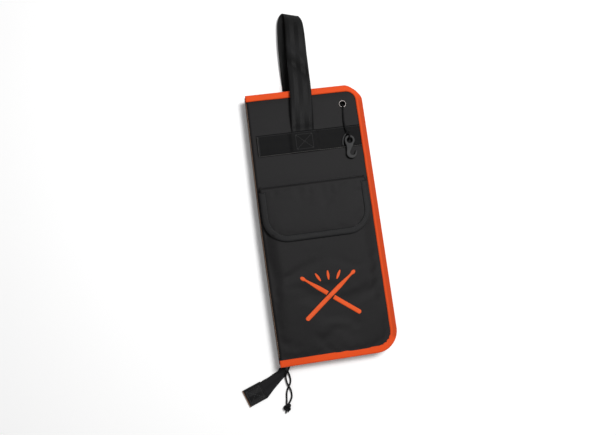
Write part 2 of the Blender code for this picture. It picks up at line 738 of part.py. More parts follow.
def hook_outline():
    """A flat S-type hook: closed ring above, open J below, as one outline about the ring's centre."""
    ring = 8.5 * MM
    bend = Vector((1.6 * MM, -22.4 * MM))
    outer, inner = 9.2 * MM, 4.3 * MM
    points = arc((0, 0), ring, -50, 235, 16)
    points += [(-5.0 * MM, -13.5 * MM)]
    points += arc(bend, outer, 165, 372, 14)
    points += [(bend.x + 7.8 * MM, bend.y + 6.4 * MM), (bend.x + 5.6 * MM, bend.y + 4.2 * MM)]
    points += arc(bend, inner, 0, -195, 10)
    points += [(0.6 * MM, -14.6 * MM), (5.6 * MM, -10.4 * MM)]
    return points


def add_hook(carrier):
    """The cord that hangs from the eyelet, its loop through the ring, and the plastic hook."""
    tube("hang_cord", smooth_route(HANG_ROUTE, 22), CORD_DIAMETER, black_cord(), carrier)
    thick = 3.4 * MM
    hook = plate("hang_hook", hook_outline(), -thick / 2, thick / 2, grey_plastic(), carrier,
                 (circle((0, 0), 5 * MM, 20),))
    hook.location = RING_CENTRE - carrier.location
    hook.rotation_euler = (HOOK_TILT, 0, math.radians(2))

    link = RING_CENTRE + Vector((-0.2 * MM, 6.65 * MM, 0.3 * MM))
    bpy.ops.mesh.primitive_torus_add(major_segments=20, minor_segments=8, major_radius=4.5 * MM,
                                     minor_radius=1.35 * MM, rotation=(0, math.pi / 2, 0))
    loop = bpy.context.object
    loop.name = "hook_loop"
    adopt(loop, black_cord(), carrier, link, (0, math.pi / 2, 0))
    bpy.ops.mesh.primitive_uv_sphere_add(segments=12, ring_count=8, radius=3.2 * MM,
                                         location=link + Vector((0, 5.6 * MM, 0)))
    knot = bpy.context.object
    knot.name = "hook_loop_knot"
    for collection in list(knot.users_collection):
        collection.objects.unlink(knot)
    CUTTERS.objects.link(knot)
    knot.hide_render = True
    knot.display_type = "WIRE"
    combine(loop, knot, "UNION")


# Pocket flap

def flap_outline(inset=0.0):
    """The flap in plan from its seam down: square at the seam, round at the lower corners."""
    left, right = FLAP_X[0] + inset, FLAP_X[1] - inset
    bottom, radius = FLAP_BOTTOM_Y + inset, FLAP_RADIUS - inset
    top = FLAP_SEAM_Y - 11 * MM
    points = [(left, top)] + arc((left + radius, bottom + radius), radius, 180, 270)
    points += arc((right - radius, bottom + radius), radius, 270, 360) + [(right, top)]
    return points


def add_flap(flap):
    """A cloth flap that turns down at its seam, edged with folded tape and closed by a loop strip."""
    seam = FRONT_FACE + GAP
    slope = ((FLAP_SEAM_Y, seam), (FLAP_SEAM_Y - 3 * MM, seam + 0.4 * MM),
             (FLAP_SEAM_Y - 5.5 * MM, (seam + FLAP_Z) / 2), (FLAP_SEAM_Y - 8 * MM, FLAP_Z))
    inset = 1.8 * MM
    radius = FLAP_RADIUS - inset
    left, right = FLAP_X[0] + inset, FLAP_X[1] - inset
    bottom = FLAP_BOTTOM_Y + inset
    rows = [[(left + (right - left) * part / 4, y, z) for part in range(5)] for y, z in slope]
    rows.append([(left + (right - left) * part / 4, bottom + radius, FLAP_Z) for part in range(5)])
    for step in range(1, ARC_STEPS + 1):
        angle = math.radians(90 * step / ARC_STEPS)
        y = bottom + radius - radius * math.sin(angle)
        trim = radius - radius * math.cos(angle)
        first, last = left + trim, right - trim
        rows.append([(first + (last - first) * part / 4, y, FLAP_Z) for part in range(5)])
    rows = [list(reversed(row)) for row in rows]
    sheet("flap_panel", rows, FLAP_WALL, black_nylon(), flap)

    height, wall = 2.6 * MM, 0.7 * MM
    lip = (height - FLAP_WALL) / 2 - GAP
    profile = [(0, 0.4 * MM), (0, height - 0.4 * MM), (0.4 * MM, height), (FLAP_BIND_WIDTH, height),
               (FLAP_BIND_WIDTH, height - lip), (wall, height - lip), (wall, lip), (FLAP_BIND_WIDTH, lip),
               (FLAP_BIND_WIDTH, 0), (0.4 * MM, 0)]
    swept("flap_binding", profile, list(reversed(flap_outline())), black_webbing(), flap,
          FLAP_Z - (height - FLAP_WALL) / 2)

    strip_high = FLAP_Z - 0.3 * MM
    box("flap_loop_strip", (-45 * MM, -8 * MM, strip_high - HOOK_STRIP), (30 * MM, 16.7 * MM, strip_high),
        black_webbing(), flap)


# Inside pockets

def edge_channel(name, left, right, y_top, z_low, z_high, wall_low, wall_high, parent):
    """A folded tape over a pocket's top edge."""
    depth = 10 * MM
    skin = 0.5 * MM
    outline = [(y_top - depth, z_low), (y_top, z_low), (y_top, z_high), (y_top - depth, z_high),
               (y_top - depth, wall_high), (y_top - skin, wall_high), (y_top - skin, wall_low),
               (y_top - depth, wall_low)]
    tape = plate(name, outline, -(right - left) / 2, (right - left) / 2, orange_tape(), parent)
    tape.location = Vector(((left + right) / 2, 0, 0)) - parent.location
    tape.rotation_euler = (math.pi / 2, 0, math.pi / 2)


def add_stick_sleeve(root):
    """Two long compartments for sticks, sewn to the back lining and open towards the handle."""
    low = LINING_LEVEL[1] + GAP
    left, right = -98 * MM, BACK_HALF[0] - INNER - 8 * MM
    bottom = BACK_HALF[2] + INNER + 9 * MM
    top = low + SLEEVE_DEPTH + SLEEVE_WALL
    sleeve = box("stick_sleeve", (left, bottom, low), (right, SLEEVE_TOP_Y - 1 * MM, top),
                 lining_cloth(), root, 1.5 * MM)
    middle = (left + right) / 2
    seam = 1.2 * MM
    walls = ((left + 1.2 * MM, middle - seam / 2), (middle + seam / 2, right - 1.2 * MM))
    for start, end in walls:
        bay = box_cutter("stick_bay", (start, bottom + 1.2 * MM, low - 1 * MM),
                         (end, SLEEVE_TOP_Y + 2 * MM, low + SLEEVE_DEPTH))
        combine(sleeve, bay, "DIFFERENCE")
    relief = box_cutter("seam_relief", (left + 1.2 * MM, SLEEVE_TOP_Y - 12.5 * MM, low - 1 * MM),
                        (right - 1.2 * MM, SLEEVE_TOP_Y + 2 * MM, low + SLEEVE_DEPTH))
    combine(sleeve, relief, "DIFFERENCE")
    edge_channel("sleeve_binding", left + 2 * MM, right - 2 * MM, SLEEVE_TOP_Y, top - 1.8 * MM,
                 top + 0.9 * MM, top - SLEEVE_WALL - 0.3 * MM, top + 0.3 * MM, root)


def add_inner_pocket(half):
    """A flat pocket on the front half's lining, open towards the handle."""
    ceiling = THICKNESS - LINING_LEVEL[1] - GAP
    left, right = -98 * MM, FRONT_HALF[0] - INNER - 6 * MM
    bottom = -TOP_Y + INNER + 12 * MM
    pocket = box("inner_pocket", (left, bottom, INNER_POCKET_Z), (right, INNER_POCKET_TOP_Y - 1 * MM, ceiling),
                 lining_cloth(), half)
    space = box_cutter("pocket_space", (left + 1.2 * MM, bottom + 1.2 * MM, INNER_POCKET_Z + SLEEVE_WALL),
                       (right - 1.2 * MM, INNER_POCKET_TOP_Y + 2 * MM, ceiling + 1 * MM))
    combine(pocket, space, "DIFFERENCE")
    edge_channel("inner_pocket_binding", left + 2 * MM, right - 2 * MM, INNER_POCKET_TOP_Y,
                 INNER_POCKET_Z - 0.8 * MM, INNER_POCKET_Z + SLEEVE_WALL + 0.8 * MM,
                 INNER_POCKET_Z - 0.3 * MM, INNER_POCKET_Z + SLEEVE_WALL + 0.3 * MM, half)


def build():
    global PARTS, CUTTERS
    clear_scene()
    PARTS = new_collection("drum_stick_bag")
    CUTTERS = new_collection("cutters")

    root = body_frame("back_half")
    half = body_frame("front_half", (SPINE_X, 0, HINGE_Z))
    flap = body_frame("pocket_flap", (0, FLAP_SEAM_Y, FRONT_FACE + GAP + 1 * MM))
    carrier = body_frame("hook_carrier", (EYELET.x, EYELET.y, 35.4 * MM))
    slider = body_frame("zip_slider", (SLIDER_X, -TOP_Y, MID_Z))
    pull = body_frame("zip_pull", PULL_PIN)

    add_back_case(root)
    add_spine(root)
    add_tail(root)
    add_handle(root)
    add_stick_sleeve(root)

    add_front_case(half)
    add_band(half)
    add_pocket(half)
    add_emblem(half)
    add_eyelet(half)
    add_inner_pocket(half)

    add_flap(flap)
    add_hook(carrier)
    add_slider(slider)
    add_pull(pull)


build()
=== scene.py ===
"""Looks of the drum stick bag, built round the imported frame.

The closed bag lies on its back: +X towards the zipped side, +Y towards the handle, +Z out of the front.
"""

import math

import bpy
import numpy as np
from mathutils.bvhtree import BVHTree
from mathutils import Matrix, Vector, noise


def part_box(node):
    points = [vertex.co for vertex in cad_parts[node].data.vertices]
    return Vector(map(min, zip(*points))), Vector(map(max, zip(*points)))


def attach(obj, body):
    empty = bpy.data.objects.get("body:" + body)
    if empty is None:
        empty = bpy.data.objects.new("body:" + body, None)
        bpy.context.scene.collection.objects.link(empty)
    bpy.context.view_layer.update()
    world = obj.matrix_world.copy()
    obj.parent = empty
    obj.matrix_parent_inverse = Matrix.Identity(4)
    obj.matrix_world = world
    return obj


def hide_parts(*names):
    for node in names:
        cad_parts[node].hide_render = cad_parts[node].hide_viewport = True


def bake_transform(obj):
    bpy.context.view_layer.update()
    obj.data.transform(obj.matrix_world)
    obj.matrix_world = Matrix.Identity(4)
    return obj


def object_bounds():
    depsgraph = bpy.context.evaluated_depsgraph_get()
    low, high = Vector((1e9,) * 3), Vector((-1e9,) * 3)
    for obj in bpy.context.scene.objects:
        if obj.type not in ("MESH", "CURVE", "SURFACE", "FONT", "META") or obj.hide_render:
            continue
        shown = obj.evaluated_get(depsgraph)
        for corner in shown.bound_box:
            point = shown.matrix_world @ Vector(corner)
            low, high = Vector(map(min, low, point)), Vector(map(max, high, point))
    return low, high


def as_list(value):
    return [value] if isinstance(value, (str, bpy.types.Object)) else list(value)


MM = 0.001

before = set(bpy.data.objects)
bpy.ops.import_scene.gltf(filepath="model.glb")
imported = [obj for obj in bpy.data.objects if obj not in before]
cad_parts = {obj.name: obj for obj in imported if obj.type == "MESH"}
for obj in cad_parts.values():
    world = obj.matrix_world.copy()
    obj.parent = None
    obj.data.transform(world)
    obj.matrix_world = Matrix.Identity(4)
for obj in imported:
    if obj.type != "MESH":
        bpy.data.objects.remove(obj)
CAD_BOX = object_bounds()


# ---------------------------------------------------------------- sizes, from the frame

FRONT_LOW, FRONT_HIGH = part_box("front_binding")
BACK_LOW, BACK_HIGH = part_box("back_binding")
SPINE_X = FRONT_LOW.x
BIND_HEIGHT = FRONT_HIGH.z - FRONT_LOW.z
BIND_WIDTH = 12 * MM
BIND_TAPE = 0.9 * MM
FRONT_HALF = (FRONT_HIGH.x, FRONT_HIGH.y, FRONT_LOW.y, 29 * MM, 38 * MM)
BACK_HALF = (BACK_HIGH.x, BACK_HIGH.y, BACK_LOW.y, 33 * MM, 38 * MM)
FRONT_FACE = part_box("front_shell")[1].z
FRONT_LINING_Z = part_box("front_lining")[0].z
BACK_LINING_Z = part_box("back_lining")[1].z
MID_Z = (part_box("back_stringer")[1].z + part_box("front_stringer")[0].z) / 2
STRINGER_INSET = 4.7 * MM
PANEL_INSET = 3 * MM
SHELL_CLOTH = 0.8 * MM
LINING_CLOTH = 0.6 * MM

POCKET_LOW, POCKET_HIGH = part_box("pocket_panel")
POCKET_PLATEAU_Y = -40 * MM
POCKET_RISE = POCKET_HIGH.z - POCKET_LOW.z - 0.8 * MM
FLAP_LOW, FLAP_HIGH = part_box("flap_binding")
FLAP_LOW.x += 2.1 * MM
FLAP_SEAM_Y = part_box("flap_panel")[1].y
FLAP_SEAM_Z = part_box("flap_panel")[0].z
FLAP_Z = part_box("flap_panel")[1].z
FLAP_RADIUS = 42 * MM
FLAP_TAPE = 11 * MM

BAND_LOW, BAND_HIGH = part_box("front_band")
GROMMET_LOW, GROMMET_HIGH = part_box("grommet")
EYELET = (GROMMET_LOW + GROMMET_HIGH) / 2
SLEEVE_LOW, SLEEVE_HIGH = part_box("stick_sleeve")
INNER_LOW, INNER_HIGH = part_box("inner_pocket")
CORD = 3 * MM
EDGE_STEP = 3 * MM
PANEL_STEP = 4.5 * MM
STITCH = 3.0 * MM
STITCH_WIDTH = 0.75 * MM
STITCH_PITCH = 3.6 * MM


# ---------------------------------------------------------------- shader building

def add_node(tree, kind, inputs=None, **settings):
    """A shader node with its settings, and inputs that are values or sockets."""
    made = tree.nodes.new(kind)
    for key, value in settings.items():
        setattr(made, key, value)
    for key, value in (inputs or {}).items():
        if isinstance(value, bpy.types.NodeSocket):
            tree.links.new(value, made.inputs[key])
        else:
            made.inputs[key].default_value = value
    return made


def calc(tree, operation, first, second=0.0):
    return add_node(tree, "ShaderNodeMath", {0: first, 1: second}, operation=operation).outputs[0]


def new_look(name):
    look = bpy.data.materials.new(name)
    look.use_nodes = True
    tree = look.node_tree
    return look, tree, tree.nodes["Principled BSDF"]


def mix_colour(tree, factor, low, high):
    made = add_node(tree, "ShaderNodeMix", {"Factor": factor}, data_type="RGBA")
    for socket, value in ((made.inputs[6], low), (made.inputs[7], high)):
        if isinstance(value, bpy.types.NodeSocket):
            tree.links.new(value, socket)
        else:
            socket.default_value = (*value, 1.0)
    return made.outputs[2]


def noise_value(tree, vector, scale, detail=3.0):
    inputs = {"Vector": vector, "Scale": scale, "Detail": detail, "Roughness": 0.55}
    return add_node(tree, "ShaderNodeTexNoise", inputs).outputs["Fac"]


def ramp(tree, value, low, high):
    made = add_node(tree, "ShaderNodeMapRange", {"Value": value, "From Min": low, "From Max": high})
    return made.outputs["Result"]


def wave(tree, value, pitch):
    """A smooth ridge from 0 to 1 that repeats every pitch metres."""
    ridge = calc(tree, "SINE", calc(tree, "MULTIPLY", value, 2 * math.pi / pitch))
    return calc(tree, "ADD", calc(tree, "MULTIPLY", ridge, 0.5), 0.5)


def cloth_heights(tree, across, along, kind, pitch):
    """The height pattern of a weave from the two thread directions, in metres."""
    if kind == "plain":
        warp = wave(tree, across, pitch)
        weft = wave(tree, along, pitch)
        check = calc(tree, "MULTIPLY", wave(tree, across, 2 * pitch), wave(tree, along, 2 * pitch))
        swap = calc(tree, "GREATER_THAN", check, 0.25)
        return add_node(tree, "ShaderNodeMix", {0: swap, 2: warp, 3: weft}).outputs[0]
    if kind == "ribs":
        thread = wave(tree, across, pitch * 0.45)
        return calc(tree, "ADD", calc(tree, "MULTIPLY", wave(tree, along, pitch), 0.8),
                    calc(tree, "MULTIPLY", thread, 0.2))
    if kind == "herringbone":
        fold = calc(tree, "PINGPONG", across, 6 * pitch)
        return wave(tree, calc(tree, "ADD", along, fold), pitch)
    left = wave(tree, calc(tree, "ADD", across, along), pitch)
    right = wave(tree, calc(tree, "SUBTRACT", across, along), pitch)
    return calc(tree, "MAXIMUM", left, right)


def woven(name, colour, kind, pitch, bump=0.35, depth=0.12 * MM, roughness=0.75, sheen=0.25, light=1.6,
          specular=0.35, painted_shade_tone=0.0):
    """A cloth: weave from the surface's own directions, with dust, shade and wear from noise, and painted
    shade from a per-point mask.
    """
    look, tree, shader = new_look(name)
    uv = add_node(tree, "ShaderNodeUVMap", uv_map="weave").outputs[0]
    split = add_node(tree, "ShaderNodeSeparateXYZ", {0: uv})
    place = add_node(tree, "ShaderNodeTexCoord").outputs["Object"]
    height = cloth_heights(tree, split.outputs[0], split.outputs[1], kind, pitch)
    broad = noise_value(tree, place, 16.0, 4.0)
    fine = noise_value(tree, place, 420.0, 2.0)
    dark = tuple(channel * 0.72 for channel in colour)
    pale = tuple(min(1.0, channel * light) for channel in colour)
    threads = mix_colour(tree, height, dark, colour)
    shaded = mix_colour(tree, calc(tree, "MULTIPLY", ramp(tree, broad, 0.42, 0.78), 0.4), threads, pale)
    specks = calc(tree, "MULTIPLY", ramp(tree, fine, 0.58, 0.8), 0.35)
    tone = mix_colour(tree, specks, shaded, pale)
    # Painted shade: where the mask is set, the colour darkens toward a fraction of itself.
    if painted_shade_tone:
        painted_shade_mask = add_node(tree, "ShaderNodeAttribute", attribute_name="soil").outputs["Fac"]
        tone = mix_colour(tree, painted_shade_mask, tone, tuple(channel * painted_shade_tone for channel in colour))
    tree.links.new(tone, shader.inputs["Base Color"])
    rough = calc(tree, "ADD", calc(tree, "MULTIPLY", broad, 0.16), roughness - 0.08)
    tree.links.new(rough, shader.inputs["Roughness"])
    crumple = calc(tree, "MULTIPLY", noise_value(tree, place, 75.0, 4.0), 0.6)
    relief = calc(tree, "ADD", calc(tree, "MULTIPLY", height, 0.5), crumple)
    bumped = add_node(tree, "ShaderNodeBump", {"Height": relief, "Strength": bump, "Distance": depth * 4})
    tree.links.new(bumped.outputs[0], shader.inputs["Normal"])
    shader.inputs["Sheen Weight"].default_value = sheen
    shader.inputs["Sheen Roughness"].default_value = 0.45
    shader.inputs["Specular IOR Level"].default_value = specular
    return look


def moulded(name, colour, roughness, grain=260.0, bump=0.25, metallic=0.0, wear=0.12, specular=0.3):
    """A plastic, paint or plate with fine grain, smudges and slightly paler raised marks."""
    look, tree, shader = new_look(name)
    place = add_node(tree, "ShaderNodeTexCoord").outputs["Object"]
    smudge = noise_value(tree, place, 90.0, 4.0)
    grit = noise_value(tree, place, grain * 6, 2.0)
    pale = tuple(min(1.0, channel * 1.5 + 0.006) for channel in colour)
    worn = calc(tree, "MULTIPLY", ramp(tree, smudge, 0.45, 0.8), wear * 3)
    tree.links.new(mix_colour(tree, worn, colour, pale), shader.inputs["Base Color"])
    tree.links.new(calc(tree, "ADD", calc(tree, "MULTIPLY", smudge, 0.25), roughness - 0.12),
                   shader.inputs["Roughness"])
    bumped = add_node(tree, "ShaderNodeBump", {"Height": grit, "Strength": bump, "Distance": 0.1 * MM})
    tree.links.new(bumped.outputs[0], shader.inputs["Normal"])
    shader.inputs["Metallic"].default_value = metallic
    shader.inputs["Specular IOR Level"].default_value = specular
    return look


NYLON = woven("nylon", (0.0098, 0.0093, 0.0098), "plain", 0.9 * MM, roughness=0.58, sheen=0.02,
              light=1.8, specular=0.16)
LINING = woven("lining_cloth", (0.016, 0.016, 0.018), "plain", 0.6 * MM, roughness=0.6, sheen=0.03,
               specular=0.2)
# The webbing darkens to 0.16 of its colour under its painted shade mask.
WEBBING = woven("webbing", (0.0062, 0.0062, 0.0066), "herringbone", 1.3 * MM, bump=0.6, roughness=0.5,
                sheen=0.02, light=2.0, specular=0.16, painted_shade_tone=0.16)
BAND_WEBBING = woven("band_webbing", (0.0040, 0.0040, 0.0043), "herringbone", 1.3 * MM, bump=0.6,
                     roughness=0.55, sheen=0.01, light=1.8, specular=0.10)
BLACK_TAPE = woven("black_tape", (0.0098, 0.0098, 0.0104), "ribs", 1.1 * MM, bump=0.6, roughness=0.52,
                   sheen=0.02, light=1.8, specular=0.17)
# The orange tape darkens to 0.66 of its colour under its painted shade mask.
ORANGE_TAPE = woven("orange_tape", (0.80, 0.078, 0.010), "ribs", 1.1 * MM, bump=0.55, roughness=0.6,
                    sheen=0.03, light=1.12, specular=0.14, painted_shade_tone=0.66)
ZIP_TAPE = woven("zip_tape", (0.008, 0.008, 0.009), "ribs", 0.8 * MM, bump=0.5, sheen=0.03, light=2.0,
                 specular=0.2)
BRAID = woven("braid", (0.004, 0.004, 0.0045), "braid", 1.5 * MM, bump=0.9, roughness=0.55, sheen=0.02,
              light=2.0, specular=0.12)
LOOP_TAPE = woven("hook_and_loop", (0.008, 0.008, 0.009), "plain", 1.4 * MM, bump=1.0, depth=0.4 * MM,
                  roughness=0.9, sheen=0.15, specular=0.1)
FOAM = moulded("foam", (0.30, 0.30, 0.31), 0.9, grain=900.0, bump=0.6)
EMBLEM_INK = woven("emblem_thread", (0.84, 0.105, 0.018), "ribs", 0.7 * MM, bump=0.5, roughness=0.5,
                   sheen=0.03, light=1.1, specular=0.2)
PLASTIC = moulded("hook_plastic", (0.020, 0.020, 0.0205), 0.5, specular=0.16)
NICKEL = moulded("nickel", (0.125, 0.115, 0.11), 0.34, metallic=1.0)
BLACK_METAL = moulded("slider_paint", (0.006, 0.006, 0.007), 0.35, wear=0.2)
COIL = moulded("zip_coil", (0.007, 0.007, 0.008), 0.38)
BLACK_THREAD = moulded("black_thread", (0.030, 0.030, 0.031), 0.6)
PALE_THREAD = moulded("pale_thread", (0.10, 0.098, 0.094), 0.6)
ORANGE_THREAD = moulded("orange_thread", (0.75, 0.085, 0.012), 0.6)
RAW_EDGE = moulded("raw_edge", (0.20, 0.115, 0.072), 0.9, bump=0.7)


# ---------------------------------------------------------------- mesh building

SPINE_BOW = 2.2 * MM
STRAIGHT_PIECES = ("zip_", "stick_sleeve", "sleeve_", "inner_pocket", "flap_")


def sway(point):
    """The filled bag's soft outline: its spine side bows out between the ends."""
    x, y, z = point
    near_spine = ease((60 * MM - x) / (160 * MM))
    bow = math.sin(math.pi * max(0.0, min(1.0, (225 * MM - y) / (450 * MM)))) ** 1.2
    return x - SPINE_BOW * near_spine * bow, y, z


def spread(start, end, steps):
    """Even values from start to end, both included."""
    return [start + (end - start) * index / steps for index in range(steps + 1)]


def hump(away, width):
    """1 at the middle, fading smoothly over a width."""
    return math.exp(-(away / width) ** 2)


def flipped(rows):
    """The same rows run the other way, so that the surface faces the other side."""
    return [list(reversed(row)) for row in rows]


def box_corners(left, low, right, high):
    return [(left, low), (right, low), (right, high), (left, high)]


def crossed_box(left, low, right, high):
    """Sides and diagonals of a box as pairs of corners, the way webbing is sewn down."""
    corners = box_corners(left, low, right, high)
    sides = list(zip(corners, corners[1:] + corners[:1]))
    return sides + [(corners[0], corners[2]), (corners[1], corners[3])]


def between(first, second, steps):
    """Even points in plan from one point to another."""
    return list(zip(spread(first[0], second[0], steps), spread(first[1], second[1], steps)))


def with_run(marks):
    """Marks along an edge, each with the length run so far."""
    run = 0.0
    before = marks[0][0]
    for point, out, bend in marks:
        run += (point - before).length
        before = point
        yield run, point, out, bend


def add_object(name, data):
    made = bpy.data.objects.new(name, data)
    bpy.context.scene.collection.objects.link(made)
    return made


def baked(thing):
    """An object's mesh with its modifiers applied."""
    graph = bpy.context.evaluated_depsgraph_get()
    return bpy.data.meshes.new_from_object(thing.evaluated_get(graph))


def apply_modifiers(piece):
    mesh = baked(piece)
    piece.modifiers.clear()
    piece.data = mesh


def thicken(piece, thickness, offset=-1.0):
    solid = piece.modifiers.new("Cloth", "SOLIDIFY")
    solid.thickness = thickness
    solid.offset = offset


def mesh_piece(name, points, faces, look, weave=None):
    """A mesh object in the row frame, with an optional map of metres along its threads."""
    mesh = bpy.data.meshes.new(name)
    if not name.startswith(STRAIGHT_PIECES):
        points = [sway(point) for point in points]
    mesh.from_pydata([tuple(point) for point in points], [], faces)
    if weave is not None:
        layer = mesh.uv_layers.new(name="weave")
        spots = np.array([weave[loop.vertex_index] for loop in mesh.loops], np.float32)
        layer.data.foreach_set("uv", spots.ravel())
    mesh.materials.append(look)
    mesh.update()
    mesh.shade_smooth()
    return add_object(name, mesh)


def grid_piece(name, rows, look, thickness=0.0, offset=-1.0, closed=False):
    """A cloth surface through rows of points. Its threads run along and across the rows."""
    array = np.array([[tuple(point) for point in row] for row in rows])
    count, wide = array.shape[:2]
    along = np.zeros((count, wide))
    along[1:] = np.cumsum(np.linalg.norm(np.diff(array, axis=0), axis=2), axis=0)
    along = np.repeat(along.mean(axis=1, keepdims=True), wide, axis=1)
    across = np.zeros((count, wide))
    across[:, 1:] = np.cumsum(np.linalg.norm(np.diff(array, axis=1), axis=2), axis=1)
    weave = np.dstack((across, along)).reshape(-1, 2)
    faces = []
    last = wide if closed else wide - 1
    for row in range(count - 1):
        for column in range(last):
            after = (column + 1) % wide
            faces.append((row * wide + column, row * wide + after, (row + 1) * wide + after,
                          (row + 1) * wide + column))
    if closed:
        faces.append(tuple(range(wide - 1, -1, -1)))
        faces.append(tuple((count - 1) * wide + column for column in range(wide)))
    piece = mesh_piece(name, array.reshape(-1, 3), faces, look, weave)
    if thickness:
        thicken(piece, thickness, offset)
    return piece


def tube_rows(path, radius, sides=10, closed=False):
    """Rings of points round a path, carried along without twist."""
    points = [Vector(point) for point in path]
    rings = []
    normal = None
    count = len(points)
    for index, point in enumerate(points):
        before = points[index - 1] if index or closed else points[0]
        after = points[(index + 1) % count] if index < count - 1 or closed else points[-1]
        ahead = (after - before).normalized()
        if normal is None:
            normal = ahead.orthogonal().normalized()
        normal = (normal - ahead * normal.dot(ahead)).normalized()
        side = ahead.cross(normal)
        size = radius(index / (count - 1)) if callable(radius) else radius
        rings.append([point + (normal * math.cos(turn) + side * math.sin(turn)) * size
                      for turn in (2 * math.pi * step / sides for step in range(sides))])
    return rings


def tube_piece(name, path, radius, look, sides=10):
    return grid_piece(name, flipped(tube_rows(path, radius, sides)), look, closed=True)


def joined(name, pieces):
    """Join meshes of the same look into one piece."""
    bpy.ops.object.select_all(action="DESELECT")
    for piece in pieces:
        piece.select_set(True)
    bpy.context.view_layer.objects.active = pieces[0]
    bpy.ops.object.join()
    pieces[0].name = name
    return pieces[0]


def place(piece, body, slot, *nodes):
    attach(piece, body)
    if nodes:
        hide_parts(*nodes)
    return piece


def smooth_route(points, count):
    """Even points on a Catmull-Rom curve through a route's own points, in millimetres."""
    spots = [Vector(point) * MM for point in points]
    spots = [2 * spots[0] - spots[1]] + spots + [2 * spots[-1] - spots[-2]]
    fine = []
    for before, start, end, after in zip(spots, spots[1:], spots[2:], spots[3:]):
        for step in range(24):
            t = step / 24
            fine.append(0.5 * (2 * start + (end - before) * t
                               + (2 * before - 5 * start + 4 * end - after) * t ** 2
                               + (3 * start - before - 3 * end + after) * t ** 3))
    fine.append(spots[-2])
    return resample(fine, count)


def resample(points, count):
    """Evenly spaced points along a polyline."""
    lengths = [0.0]
    for first, second in zip(points, points[1:]):
        lengths.append(lengths[-1] + (second - first).length)
    route = []
    index = 0
    for step in range(count):
        goal = lengths[-1] * step / (count - 1)
        while index < len(points) - 2 and lengths[index + 1] < goal:
            index += 1
        span = max(lengths[index + 1] - lengths[index], 1e-9)
        route.append(points[index].lerp(points[index + 1], (goal - lengths[index]) / span))
    return route


def route_length(points):
    return sum((second - first).length for first, second in zip(points, points[1:]))


def ripple(x, y, size, seed=0.0):
    """Smooth noise from about -1 to 1 with features of the given size."""
    return noise.noise(Vector((x / size, y / size, seed)))


def ease(value):
    value = max(0.0, min(1.0, value))
    return value * value * (3 - 2 * value)


CAPSULE_RINGS = ((-0.5, 0.15), (-0.42, 0.75), (-0.2, 1.0), (0.2, 1.0), (0.42, 0.75), (0.5, 0.15))


def capsules(name, spots, look, sides=6):
    """Many small rounded bars in one piece: each spot is (centre, direction, up, length, width, height)."""
    points, faces = [], []
    for centre, ahead, up, length, width, height in spots:
        ahead = Vector(ahead).normalized()
        side = Vector(up).cross(ahead).normalized()
        rise = ahead.cross(side)
        base = len(points)
        for share, swell in CAPSULE_RINGS:
            for step in range(sides):
                turn = 2 * math.pi * step / sides
                points.append(Vector(centre) + ahead * length * share
                              + side * (math.cos(turn) * width / 2 * swell)
                              + rise * (math.sin(turn) * height / 2 * swell))
        for ring in range(len(CAPSULE_RINGS) - 1):
            for step in range(sides):
                after = (step + 1) % sides
                low, high = base + ring * sides, base + (ring + 1) * sides
                faces.append((low + step, low + after, high + after, high + step))
        faces.append(tuple(base + step for step in range(sides - 1, -1, -1)))
        end = base + (len(CAPSULE_RINGS) - 1) * sides
        faces.append(tuple(end + step for step in range(sides)))
    return mesh_piece(name, points, faces, look)


def stitch_spots(line, up=(0, 0, 1)):
    """Stitches set end to end along a line of points."""
    count = max(2, int(route_length(line) / STITCH_PITCH))
    marks = resample(line, count * 2 + 1)
    spots = []
    for index in range(1, len(marks), 2):
        ahead = marks[index + 1] - marks[index - 1]
        spots.append((marks[index], ahead, up, STITCH, STITCH_WIDTH, STITCH_WIDTH * 0.8))
    return spots


# ---------------------------------------------------------------- outline of a half

def edge_marks(half, step=EDGE_STEP, start=SPINE_X):
    """Marks along the zipped edge of a half: (edge point, outward direction, share of corner)."""
    right, top, bottom, top_radius, bottom_radius = half
    marks = []

    def straight(first, last, out):
        count = max(1, int((last - first).length / step))
        for index in range(count):
            marks.append((first.lerp(last, index / count), out, 0.0))

    def corner(centre, radius, start_turn):
        count = max(4, int(radius * math.pi / 2 / step * 1.3))
        for index in range(count):
            turn = math.radians(start_turn - 90 * index / count)
            out = Vector((math.cos(turn), math.sin(turn)))
            marks.append((centre + out * radius, out, math.sin(math.pi * index / count)))

    straight(Vector((start, top)), Vector((right - top_radius, top)), Vector((0, 1)))
    corner(Vector((right - top_radius, top - top_radius)), top_radius, 90)
    straight(Vector((right, top - top_radius)), Vector((right, bottom + bottom_radius)), Vector((1, 0)))
    corner(Vector((right - bottom_radius, bottom + bottom_radius)), bottom_radius, 0)
    straight(Vector((right - bottom_radius, bottom)), Vector((start, bottom)), Vector((0, -1)))
    marks.append((Vector((start, bottom)), Vector((0, -1)), 0.0))
    return marks


def edge_line(half, inset, z, start=SPINE_X):
    return [Vector((point.x - out.x * inset, point.y - out.y * inset, z))
            for point, out, _ in edge_marks(half, start=start)]


def rounded_corners(half):
    """Radius, centre height and side of a half's upper and lower corner."""
    top, bottom, top_radius, bottom_radius = half[1:]
    return (top_radius, top - top_radius, 1), (bottom_radius, bottom + bottom_radius, -1)


def edge_distance(half, x, y):
    """How far a point is inside a half's zipped edge."""
    right, top, bottom = half[:3]
    for radius, centre_y, sign in rounded_corners(half):
        away = (y - centre_y) * sign
        reach = x - (right - radius)
        if away > 0 and reach > 0:
            return radius - math.hypot(away, reach)
    return min(right - x, top - y, y - bottom)


def right_edge(half, y, inset):
    """Where a half's edge is at a height on the page, at an inset from it."""
    right = half[0]
    for radius, centre_y, sign in rounded_corners(half):
        away = (y - centre_y) * sign
        if away > 0:
            reach = radius - inset
            return right - radius + math.sqrt(max(0.0, reach ** 2 - away ** 2))
    return right - inset


